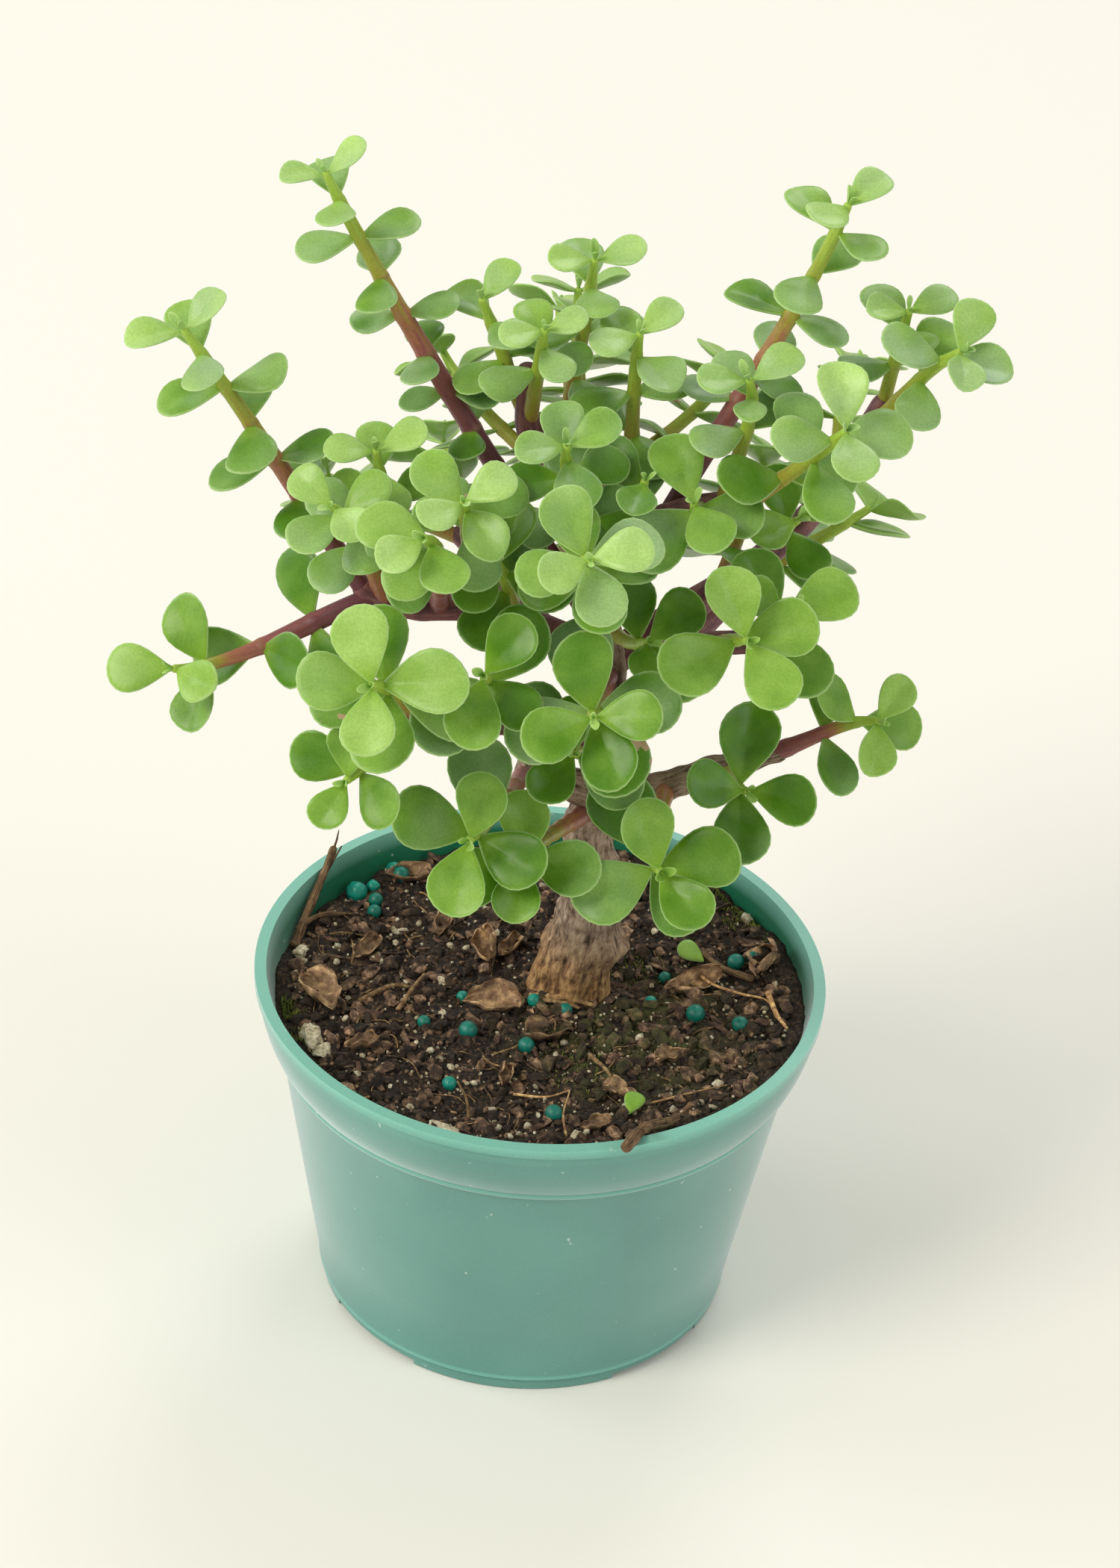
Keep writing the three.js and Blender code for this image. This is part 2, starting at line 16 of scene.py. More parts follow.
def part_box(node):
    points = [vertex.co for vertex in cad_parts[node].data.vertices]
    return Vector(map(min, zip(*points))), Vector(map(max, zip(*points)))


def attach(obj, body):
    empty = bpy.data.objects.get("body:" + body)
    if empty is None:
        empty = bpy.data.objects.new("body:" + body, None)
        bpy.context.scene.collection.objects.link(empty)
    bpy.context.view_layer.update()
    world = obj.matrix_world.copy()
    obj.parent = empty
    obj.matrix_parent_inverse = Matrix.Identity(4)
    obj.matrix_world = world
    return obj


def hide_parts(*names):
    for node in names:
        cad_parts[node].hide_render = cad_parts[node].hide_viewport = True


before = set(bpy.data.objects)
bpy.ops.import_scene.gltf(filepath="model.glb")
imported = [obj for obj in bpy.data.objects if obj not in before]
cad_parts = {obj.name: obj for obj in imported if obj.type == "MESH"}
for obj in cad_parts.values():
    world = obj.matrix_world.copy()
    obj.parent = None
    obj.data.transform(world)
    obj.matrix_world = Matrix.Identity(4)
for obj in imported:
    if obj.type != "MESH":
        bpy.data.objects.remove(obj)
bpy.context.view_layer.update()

bl_info = {
    "name": "Potted jade plant",
    "version": (1, 0, 0),
    "blender": (4, 5, 0),
    "location": "3D View > Sidebar > Jade plant",
    "description": "Models a small-leaved jade plant with its soil and nursery pot",
    "category": "Add Mesh",
}

MM = 0.001

# ---- the pot's sizes, as in the part ----
POT_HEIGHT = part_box("pot")[1].z / MM
RIM_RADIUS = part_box("pot")[1].x / MM
RIM_WIDTH = 2.6
LIP_HEIGHT = 2.2
LIP_OVERHANG = 0.7
COLLAR_HEIGHT = 17
COLLAR_FOOT_RADIUS = 58.6
SHOULDER = 0.9
BASE_RADIUS = 47.2
WALL = 1.3
FLOOR = 1.4
FOOT_HEIGHT = 3.6
FOOT_INSET = 0.7
FOOT_WIDTH = 3.4
PAD_RADIUS = 9
SHOULDER_Z = POT_HEIGHT - COLLAR_HEIGHT
SOIL_DROP = 9
SOIL_TOP = POT_HEIGHT - SOIL_DROP

# ---- the plant's growth, as in the part ----
SOIL_TILT = 0.016
SOIL_MOUND = 1.6
MOUND_SPREAD = 14
SOIL_LUMP = 0.7
LUMP_SPACING = 32
LEAF_ASPECT = 0.88
LEAF_THICKNESS = 2.0
LEAF_SPAN = 1.1
LEAF_CLEARANCE = 1.9
GAP = 0.3
TRUNK_FLARE = 2.6
BARE_FOOT = 7
SHOOT_BASE_RADIUS = 1.7
SHOOT_TIP_RADIUS = 0.95
SHOOT_BOW = 0.3
TIP_BOW = 0.35
PATH_STEP = 2.5
VIEW_UP = (0, 0.565, 0.825)
FRONT_LIGHT = (0, -0.65, 0.76)
BACK_LIGHT = (0, 0.35, 0.94)
LIGHT_PULL = 0.55
LIGHT_DIVIDE = 30
TOP_LIGHT = (0, -0.42, 0.91)
HIGH_TIP = 140
PAIR_SIZE = [0.88, 1, 1.05, 1.05, 1, 0.95]
PAIR_RISE = [34, 22, 12, 6, 2, 0]
FIRST_PAIR_SHIFT = 0.35
FIRST_PAIR_BACK = 0.2
TURN_SPREAD = 16
RISE_SPREAD = 14
SIZE_SPREAD = 0.16
CURL_SPREAD = 0.12

# Woody limbs: name, limb it grows from, points along its middle, radius at its foot and at its end.
LIMBS = [
    ("trunk", "", [(6, 6, -8), (7, 5, 6), (10, 3, 26), (8, 2, 48), (11, 0, 66), (10, 0, 88),
     (7, 2, 106), (4, 3, 120)], 10.2, 3.6),
    ("branch_left", "trunk", [(9, 0, 92), (-4, 0, 98), (-18, -3, 104), (-32, -6, 105),
     (-42, -8, 110)], 3, 2.3),
    ("branch_front_left", "trunk", [(11, 0, 72), (-4, -8, 79), (-17, -17, 85), (-27, -30, 93),
     (-32, -42, 97)], 2.8, 1.8),
    ("stub_left", "trunk", [(10, 1, 56), (1, -1, 61), (-8, -3, 64)], 3.6, 2.9),
    ("branch_right_low", "trunk", [(9, 1, 56), (18, -4, 61), (34, -8, 71), (47, -6, 75)], 3.8, 2.2),
    ("branch_right", "trunk", [(7, 2, 110), (14, -3, 125), (26, -12, 137), (36, -14, 140)], 3.3, 2.4),
    ("branch_right_back", "trunk", [(9, 1, 90), (23, 4, 101), (43, 7, 118), (54, 10, 132),
     (62, 13, 150)], 3.2, 2),
    ("stub_top", "trunk", [(5, 3, 114), (-4, 7, 130), (-10, 8, 141), (-11, 8, 156)], 3.8, 1.8),
    ("branch_centre", "trunk", [(11, 0, 74), (16, -8, 89), (28, -18, 108), (40, -25, 114)], 2.7, 2),
    ("branch_back", "trunk", [(8, 1, 99), (4, 20, 112), (1, 38, 124)], 3, 2.1),
    ("branch_back_left", "trunk", [(9, 1, 82), (-8, 20, 90), (-24, 36, 98)], 2.9, 2),
    ("branch_back_right", "trunk", [(9, 2, 68), (24, 22, 78), (38, 40, 88)], 3, 2),
]

# Leafy shoots: name, limb it grows from, foot, tip, direction that the tip faces, roll of the end pair in
# degrees, pairs of leaves, distance between pairs, leaf length, and how old its end leaves look, from 0 to 1.
SHOOTS = [
    ("centre_low", "trunk", (10, 0, 88), (7, -58, 115), (0, -0.85, 0.5), 20, 4, 9, 16, 0.5),
    ("right_centre", "branch_centre", (32, -21, 111), (36, -45, 127), (0.3, -0.8, 0.5), -65, 2, 9, 16, 0.35),
    ("front_left", "branch_front_left", (-27, -30, 93), (-36, -66, 124), (-0.2, -0.85, 0.5), 100, 4, 8, 16, 0.12),
    ("centre_high", "trunk", (8, 2, 100), (4, -60, 152), (0.1, -0.85, 0.5), 22, 5, 9, 13, 0.08),
    ("lower_front", "trunk", (8, 1, 52), (-5, -45, 70), (0, -0.85, 0.4), 90, 2, 5, 15.5, 0.45),
    ("lower_right", "branch_right_low", (24, -6, 65), (23, -45, 70), (0.2, -0.8, 0.4), 120, 3, 6, 17, 0.4),
    ("lower_left", "stub_left", (-6, -2, 63), (-16, -50, 78), (-0.2, -0.8, 0.3), 75, 3, 7, 16.5, 0.45),
    ("left_far", "branch_left", (-40, -8, 108), (-79, -25, 98), (-0.7, -0.6, 0.35), 0, 4, 12, 14.5, 0.3),
    ("right_far", "branch_right_low", (46, -6, 75), (67, -8, 86), (0.6, -0.7, 0.35), 70, 3, 8, 13, 0.25),
    ("right_bright", "branch_right", (35, -14, 140), (52, -30, 167), (0.2, -0.65, 0.7), 95, 4, 9, 14, 0.1),
    ("right_mid", "branch_centre", (39, -24, 113), (44, -30, 124), (0.5, -0.5, 0.7), 20, 3, 7, 16, 0.45),
    ("left_twin_high", "branch_left", (-18, -3, 104), (-21, -42, 152), (0, -0.75, 0.65), 40, 4, 8, 12, 0.05),
    ("left_twin_low", "branch_left", (-26, -5, 105), (-28, -48, 147), (-0.2, -0.8, 0.55), 50, 5, 8, 13, 0.05),
    ("top_left", "trunk", (8, 1, 96), (-53, 5, 197), (-0.42, -0.1, 0.9), 40, 8, 9.5, 11, 0.08),
    ("top_right", "branch_right", (19, -7, 131), (50, 5, 198), (0.25, -0.1, 0.95), 35, 6, 10, 12, 0.15),
    ("left_high", "branch_left", (-42, -8, 110), (-79, -10, 168), (-0.5, -0.2, 0.85), 40, 6, 9.5, 12.5, 0.1),
    ("left_inner", "branch_left", (-37, -7, 107), (-47, -32, 143), (-0.3, -0.7, 0.6), -40, 4, 8, 11.5, 0.1),
    ("left_pale", "branch_left", (-30, -6, 105), (-40, -14, 146), (-0.1, -0.3, 0.95), 20, 3, 9, 11.5, 0.02),
    ("right_outer", "branch_right_back", (62, 13, 149), (65, 12, 172), (0.1, -0.3, 0.95), 20, 3, 8, 11, 0.25),
    ("right_end", "branch_right_back", (60, 12, 145), (75, 0, 170), (0.5, -0.5, 0.6), 75, 3, 8, 13, 0.12),
    ("top_middle", "stub_top", (-4, 7, 130), (1, 15, 177), (0.05, -0.25, 0.97), 10, 4, 10, 12, 0.15),
    ("top_inner_left", "stub_top", (-9, 8, 139), (-21, 8, 170), (-0.3, -0.3, 0.9), 60, 3, 9, 11.5, 0.12),
    ("top_inner", "stub_top", (-10, 8, 143), (-8, -5, 171), (0.05, -0.4, 0.9), 20, 3, 8, 10.5, 0.2),
    ("top_inner_right", "branch_right", (12, -1, 122), (11, 0, 169), (0.05, -0.3, 0.95), 30, 4, 9, 12, 0.2),
    ("middle_pale", "trunk", (6, 3, 112), (-2, -26, 157), (0, -0.5, 0.85), 20, 5, 8, 12, 0.45),
    ("right_upper", "branch_right", (30, -13, 138), (33, -16, 169), (-0.3, -0.4, 0.85), 30, 3, 8, 12, 0.2),
    ("right_inner", "branch_right", (26, -12, 137), (24, -26, 146), (-0.1, -0.6, 0.75), 130, 2, 8, 16, 0.5),
    ("lower_right_big", "branch_right_low", (36, -8, 71), (40, -27, 79), (0.3, -0.8, 0.5), 0, 2, 7, 16, 0.65),
    ("left_hanging", "branch_front_left", (-31, -40, 96), (-41, -55, 94), (-0.3, -0.8, 0.2), 60, 3, 7, 13, 0.45),
    ("left_deep", "branch_front_left", (-17, -17, 85), (-15, -52, 119), (-0.1, -0.8, 0.6), 60, 3, 9, 16, 0.6),
    ("right_back_low", "branch_right_back", (43, 7, 118), (46, -4, 131), (0.4, -0.5, 0.7), 20, 3, 8, 13, 0.55),
    ("inner_front", "trunk", (9, 1, 98), (17, -26, 113), (0.3, -0.7, 0.6), 40, 2, 8, 14, 0.65),
    ("inner_left", "branch_left", (-10, -1, 100), (-14, -26, 129), (-0.2, -0.6, 0.75), 70, 3, 9, 14, 0.6),
    ("inner_low", "trunk", (11, 0, 66), (4, -34, 90), (0, -0.85, 0.5), 60, 2, 8, 15, 0.7),
    ("inner_high", "branch_right", (16, -5, 128), (14, -22, 148), (0.1, -0.5, 0.85), 60, 3, 8, 13, 0.55),
    ("back_top", "branch_back", (2, 30, 119), (-2, 46, 154), (0, 0.1, 0.99), 10, 4, 9, 12.5, 0.2),
    ("back_high", "branch_back", (1, 37, 123), (-6, 68, 138), (-0.1, 0.75, 0.65), 30, 5, 8, 14, 0.2),
    ("back_high_left", "branch_back", (3, 24, 114), (-30, 48, 136), (-0.5, 0.5, 0.7), 15, 5, 8, 13, 0.2),
    ("back_high_right", "branch_back", (3, 26, 116), (32, 50, 136), (0.5, 0.5, 0.7), 50, 5, 8, 13, 0.25),
    ("back_left", "branch_back_left", (-22, 35, 97), (-54, 44, 106), (-0.8, 0.4, 0.4), 25, 5, 9, 14, 0.3),
    ("back_left_low", "branch_back_left", (-18, 31, 95), (-30, 72, 100), (-0.3, 0.8, 0.4), 60, 5, 8, 14.5, 0.35),
    ("back_low", "branch_back_left", (-8, 20, 90), (4, 66, 96), (0.1, 0.85, 0.4), 35, 4, 8, 15, 0.45),
    ("back_right_low", "branch_back_right", (30, 30, 82), (44, 72, 104), (0.3, 0.8, 0.4), 15, 5, 8, 14.5, 0.35),
    ("back_right", "branch_back_right", (37, 39, 88), (64, 42, 108), (0.8, 0.3, 0.5), 40, 5, 9, 14, 0.3),
    ("back_right_high", "branch_right_back", (54, 10, 132), (58, 42, 142), (0.4, 0.6, 0.7), 20, 4, 8, 13, 0.2),
]

# Lift and spin in degrees, and size, that a leaf tries in turn until it clears its neighbours.
LEAF_TRIES = [
    (0, 0, 1), (0, 18, 1), (0, -18, 1), (16, 0, 1), (-16, 0, 1), (16, 18, 1), (16, -18, 1), (-16, 18, 1),
    (-16, -18, 1), (0, 0, 0.82), (28, 0, 0.82), (-28, 0, 0.82), (0, 32, 0.82), (0, -32, 0.82),
    (28, 28, 0.7), (28, -28, 0.7), (-28, 28, 0.7), (-28, -28, 0.7), (0, 0, 0.62), (38, 0, 0.62),
]

# ---- what the part leaves open ----
# The pot's openings, the beads on its wall, and the play round the soil.
NOTCHES = 4
NOTCH_HEIGHT = 2.8
SLOTS = 8
SLOT_LENGTH = 9
SLOT_WIDTH = 3.4
SLOT_RADIUS = 33
CUTTER_ROUND = 0.45
BEAD_REACH = 0.4
SOIL_SLACK = 0.05

# The soil's bank against the wall, its green film, and the room that bits leave round the trunk.
BANK_HEIGHT = 2.2
BANK_START = 40
BANK_END = 58
DAMP_SPOT = (22, -12, SOIL_TOP)
DAMP_REACH = 34
DAMP_CORE = 8
TRUNK_FOOT = LIMBS[0][2][0][:2]
TRUNK_CLEARANCE = 8

# Limbs with old bark, limbs that were sawn off, their nodes, and the knob on the trunk's right side.
OLD_LIMBS = ("trunk", "stub_left", "branch_right_low")
CUT_LIMBS = ("stub_left", "stub_top")
FIRST_NODE = 6.0
OLD_NODE_SPACING = 13
YOUNG_NODE_SPACING = 9
KNOB = Vector((15, 2, 15))
KNOB_HEIGHT = 2.6
KNOB_SPREAD = 4.5

# Leaves: their layers, the ball that each is pressed from, and the seeds of their differences.
LEAF_LAYERS = ("rim", "along", "under", "age", "bloom_and_sheen", "scar")
LEAF_BALL = 1.03
LEAF_SIDES = 12
LEAF_RINGS = 6
LEAF_MIDDLE = 0.54
BUD_RISE = 68
LEAF_SEED = 1000
BUD_SEED = 700
FALLEN_SEED = 900

# The stage, in metres: how far the floor lies under the pot, half its width, and what the lamps face.
FLOOR_DROP = 0.0002
FLOOR_REACH = 12
LAMP_AIM = (0, 0, 0.14)

# Shoots whose stems are ripe almost to their tips, and how ripe.
RIPE_STEMS = {"right_far": 0.5, "left_far": 0.4, "left_hanging": 0.4, "centre_high": 0.2}

# Larger light grains on the soil: place, and half their length, width and height.
PERLITE = [
    (-54, 10, (1.9, 1.5, 1.4)), (-33, 24, (1.8, 1.0, 1.0)), (-39, 47, (1.2, 0.9, 1.0)),
    (-38, 12, (1.1, 1, 1)), (-49, -21, (4.6, 2.2, 1.8)), (-46, -26, (2.6, 1.6, 1.2)),
    (-18, -52, (4.2, 1.8, 1.2)), (-22, 5, (1.2, 1, 0.8)), (40, -29, (1.2, 1, 0.9)),
    (-21, -8, (1.1, 0.9, 0.9)), (10, -50, (1.3, 1, 0.8)), (48, 34, (1.5, 1.2, 1)),
]

# Beads of coated fertiliser: place and diameter. Those with 1 at the end are burst and pale.
PRILLS = [
    (-34, 42, 4.0, 0), (-39, 32, 3.4, 0), (-39, 28, 3.3, 0), (-40, 37, 3.2, 1), (-47, 37, 5.0, 1),
    (-37, 45, 3.6, 1), (-15, -16, 4.2, 0), (-2, -18, 3.8, 0), (5, -43, 3.9, 0), (35, -4, 4.3, 0),
    (45, -6, 4.0, 0), (44, 16, 4.0, 0), (48, 18, 3.4, 0), (6, -5, 3.4, 0), (-1, -3, 3, 1),
    (-18, -33, 3.2, 1), (-25, -11, 3, 0), (-17, 0, 2.8, 1), (25, 0, 2.8, 1), (28, 10, 2.9, 0),
    (17, 19, 3.4, 0), (10, 45, 3.8, 0), (30, 42, 3.6, 0), (-12, 50, 4.1, 0),
]

# Single straws and roots: points with their height over the soil, thickness and lightness.
STRAWS = [
    ([(35, 13, 2.0), (39, 6, 2.4), (45, 4, 1.8), (51, 1, 2.2), (53, -4, 1.4)], 0.4, 0.8),
    ([(51, 3, 2.6), (53, -4, 2.4), (55, -11, 1.8)], 0.7, 1.0),
    ([(-13, -46, 0.3), (-14, -44, 5.0), (-16, -42, 9.0)], 0.42, 0.12),
    ([(8, -50, 0.3), (7, -47, 4.0), (8, -44, 8.5)], 0.3, 0.4),
    ([(-2, -1, 1.9), (6, -3, 2.1), (12, -3, 1.8)], 0.9, 0.4),
    ([(-2, -2.4, 1.8), (5, -4.4, 2.0), (9, -4.6, 1.5)], 0.7, 0.2),
    ([(12, -22, 1.6), (16, -28, 1.8), (18, -31, 1.2)], 0.6, 0.15),
    ([(-40, -4, 1.0), (-33, -1, 2.4), (-28, 0, 1.0)], 0.7, 0.12),
    ([(-31, -8, 1.0), (-28, -1, 2.4), (-26, 6, 1.5)], 0.6, 0.2),
    ([(-4, -36, 1.4), (3, -37, 1.8), (8, -34, 1.4)], 0.35, 0.6),
    ([(26, -36, 1.2), (34, -34, 1.6), (42, -30, 1.2)], 0.3, 0.35),
]

# Dead leaves on the soil: place, length, width, turn and tilt in degrees, how far they curl, lightness.
DEAD_LEAVES = [
    (-12, 15, 11, 14, 100, -25, 2.2, 0.7), (-8, 17, 8, 9, 60, 20, 2.2, 0.6),
    (-10, -4, 13, 14, 8, 16, 1.7, 0.75), (3, -13, 11, 12, 200, 14, 1.2, 0.0),
    (34, 8, 14, 12, 30, 30, 2.1, 0.8), (51, 14, 11, 13, 70, -35, 2.1, 0.8),
    (-49, -6, 13, 14, 120, 14, 1.5, 0.55), (-40, 14, 10, 9, 60, 18, 1.9, 0.35),
    (-32, 42, 10, 9, 10, 16, 1.6, 0.45), (19, -33, 8, 8, 150, 10, 1.8, 0.3),
    (30, 40, 11, 12, 40, 16, 1.8, 0.5), (-20, 42, 12, 12, 200, 15, 1.9, 0.55),
    (8, 30, 10, 10, 330, 14, 1.6, 0.4), (-6, -30, 7, 7, 80, 10, 1.9, 0.3),
    (-38, -22, 8, 7, 30, 12, 2.0, 0.35), (-24, 24, 9, 9, 80, 20, 2.1, 0.4),
    (30, -20, 8, 8, 210, 12, 1.9, 0.35), (14, -46, 7, 7, 20, 12, 2.0, 0.4),
]

# Green leaves fallen on the soil: where their foot is, the way they point in degrees, and length.
FALLEN = [(37, 17, 150, 7.5), (21, -41, 75, 6.5)]

# Twigs: points, and the radius at the foot and at the end.
TWIGS = [
    ([(-56, 12, 1), (-54, 20.6, 4), (-51.7, 28.6, 7.5), (-49.4, 35.7, 12)], 1.3, 0.9),
    ([(-52.6, 25.6, 5.5), (-50, 32.6, 9), (-47.5, 35, 13.5)], 0.5, 0.2),
    ([(-49.4, 35.7, 11.5), (-48.6, 36, 15), (-48.2, 35, 18)], 0.4, 0.12),
    ([(-56, 16, 3), (-51, 21, 4), (-44, 25, 2)], 0.7, 0.4),
    ([(35, -37, 2.6), (31, -43, 3.4), (24, -54, 9.4), (20.6, -62.5, 11.2)], 1.5, 1.3),
    ([(27, -49, 6), (24.5, -56.5, 11.4), (24.6, -60, 13.5)], 0.6, 0.3),
    ([(48, 10, 2.6), (41, 14, 2.2), (36, 20, 1.8)], 0.9, 0.6),
]

# Patches of moss: place, spread and number of blades.
MOSS = [
    (-55, -12, 1.6, 160), (46, 34, 4, 220), (40, 44, 4, 200), (22, 12, 3, 90), (10, -22, 5, 100),
    (-52, -22, 2, 60),
]


# ---- small tools ----
def linear(code):
    """An sRGB hex colour as linear values."""
    parts = [int(code[i : i + 2], 16) / 255 for i in (0, 2, 4)]
    return tuple(p / 12.92 if p <= 0.04045 else ((p + 0.055) / 1.055) ** 2.4 for p in parts)


def unit(v):
    return v / np.linalg.norm(v)


def turned(v, axis, degrees):
    """A vector turned about a unit axis."""
    a = math.radians(degrees)
    return v * math.cos(a) + np.cross(axis, v) * math.sin(a) + axis * (axis @ v) * (1 - math.cos(a))


def jitter(n):
    """An even scatter from -0.5 to 0.5, the same each time for the same number."""
    return ((n * 62) % 97) / 97 - 0.5


def smoothstep(low, high, x):
    share = min(1, max(0, (x - low) / (high - low)))
    return share * share * (3 - 2 * share)


def linked(name, data):
    """A new object in the scene for a mesh, a lamp or a camera."""
    made = bpy.data.objects.new(name, data)
    bpy.context.scene.collection.objects.link(made)
    return made


def as_object(name, bm, scale=MM):
    """An object from a model, which is turned to metres."""
    bmesh.ops.scale(bm, vec=(scale, scale, scale), verts=bm.verts)
    mesh = bpy.data.meshes.new(name)
    bm.to_mesh(mesh)
    bm.free()
    return linked(name, mesh)


def finish(name, bm, material, node, raised=True, levels=0):
    """Makes a modelled piece an object in the row frame that stands for its CAD node."""
    bmesh.ops.translate(bm, vec=(0, 0, SOIL_TOP if raised else 0), verts=bm.verts)
    piece = as_object(name, bm)
    piece.data.materials.append(material)
    if levels:
        smoother = piece.modifiers.new("Smooth surface", "SUBSURF")
        smoother.levels = levels
        smoother.render_levels = levels
    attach(piece, "root")
    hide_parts(node)
    return piece


def float_layers(bm, *names):
    return [bm.verts.layers.float.new(name) for name in names]


def smooth_faces(bm, sharp_degrees=None):
    """Shades every face smooth, and keeps edges sharper than an angle as creases."""
    for face in bm.faces:
        face.smooth = True
    if sharp_degrees:
        for edge in bm.edges:
            edge.smooth = edge.calc_face_angle(0) < math.radians(sharp_degrees)


# ---- growth: the same rule as in the part ----
class Path:
    """A way through space, measured along its length in 200 steps."""

    def __init__(self, point):
        self.point = point
        self.parameters = np.linspace(0, 1, 201)
        steps = np.linalg.norm(np.diff(point(self.parameters), axis=0), axis=1)
        self.lengths = np.concatenate([[0], np.cumsum(steps)])
        self.length = self.lengths[-1]

    def parameter(self, shares):
        return np.interp(np.asarray(shares, float) * self.length, self.lengths, self.parameters)

    def at(self, shares):
        return self.point(np.atleast_1d(self.parameter(shares)))

    def tangent(self, share):
        t = float(self.parameter(share))
        ends = self.point(np.array([max(0, t - 1e-4), min(1, t + 1e-4)]))
        return unit(ends[1] - ends[0])


def through(points):
    """A centripetal Catmull-Rom curve through the points."""
    spots = np.array(points, float)
    ends = np.vstack([2 * spots[0] - spots[1], spots, 2 * spots[-1] - spots[-2]])
    gaps = np.sqrt(np.linalg.norm(np.diff(ends, axis=0), axis=1))[:, None]

    def point(t):
        place = t * (len(spots) - 1)
        first = np.minimum(place.astype(int), len(spots) - 2)
        w = (place - first)[:, None]
        before, start, end, after = (ends[first + k] for k in range(4))
        d0, d1, d2 = (gaps[first + k] for k in range(3))
        leave = ((start - before) / d0 - (end - before) / (d0 + d1) + (end - start) / d1) * d1
        arrive = ((end - start) / d1 - (after - start) / (d1 + d2) + (after - end) / d2) * d1
        square = 3 * (end - start) - 2 * leave - arrive
        cube = 2 * (start - end) + leave + arrive
        return start + leave * w + square * w**2 + cube * w**3

    return Path(point)


def bowed(foot, tip, aim):
    """A shoot's way from its foot to its tip, where it faces its own way."""
    a, d, way = np.array(foot, float), np.array(tip, float), unit(np.array(aim, float))
    b = a + (d - a) * SHOOT_BOW
    c = d - way * TIP_BOW * np.linalg.norm(d - a)

    def point(t):
        t = t[:, None]
        k = 1 - t
        return k**3 * a + 3 * k * k * t * b + 3 * k * t * t * c + t**3 * d

    return Path(point)


def rod_radius(foot, end, flare, share):
    return end + (foot - end) * (1 - share) ** flare


def half_width(u):
    """Half a leaf's width at a share u of its length, over its length."""
    return LEAF_ASPECT * np.sqrt(np.maximum(0, u * (1 - u))) * (0.6 + 0.55 * u)


def leaf_frame(base, tangent, side, light, rise, spin, length, curl):
    out = turned(side, tangent, spin)
    a = math.radians(rise)
    along = out * math.cos(a) + tangent * math.sin(a)
    face = tangent * math.cos(a) - out * math.sin(a)
    face = unit(face + (light - face) * LIGHT_PULL)
    along = unit(along - face * (along @ face))
    return {"base": base, "along": along, "face": face, "across": np.cross(face, along),
            "length": length, "curl": curl}


def leaf_samples(leaf):
    spots = [(u, v) for u in (0.3, 0.45, 0.6, 0.75, 0.9) for v in (-0.95, -0.5, 0, 0.5, 0.95)] + [(1, 0)]
    u, v = np.array(spots, float).T[:, :, None]
    blade = u * leaf["along"] + v * half_width(u) * leaf["across"] + leaf["curl"] * u * u * leaf["face"]
    return leaf["base"] + leaf["length"] * blade


def near_blade(leaf, spots, reach):
    """Which spots come within reach of a leaf's blade. One leaf, or many with an axis more than the spots."""
    away = spots - leaf["base"]
    length = leaf["length"]
    u = (away * leaf["along"]).sum(-1) / length
    w = (away * leaf["face"]).sum(-1) - leaf["curl"] * length * u * u
    edge = half_width(np.minimum(u, 0.97)) * length + 0.4 * reach
    sideways = np.abs((away * leaf["across"]).sum(-1))
    return (u >= 0.15) & (u <= 1 + reach / length) & (np.abs(w) <= reach) & (sideways < edge)


def leaf_fits(leaf, grown, rods, own):
    samples = leaf_samples(leaf)
    if grown["samples"]:
        many = {key: np.array(grown[key])[:, None] for key in ("base", "along", "face", "across")}
        many |= {key: np.array(grown[key])[:, None] for key in ("length", "curl")}
        if near_blade(many, samples[None], LEAF_CLEARANCE).any():
            return False
        if near_blade(leaf, np.concatenate(grown["samples"]), LEAF_CLEARANCE).any():
            return False
    for name, (spots, radii) in rods.items():
        if name != own and near_blade(leaf, spots, radii + LEAF_THICKNESS / 2 + GAP).any():
            return False
    return True


def sampled(path, foot, end, flare):
    count = math.ceil(path.length / PATH_STEP)
    shares = np.arange(count + 1) / count
    return path.at(shares), rod_radius(foot, end, flare, shares)


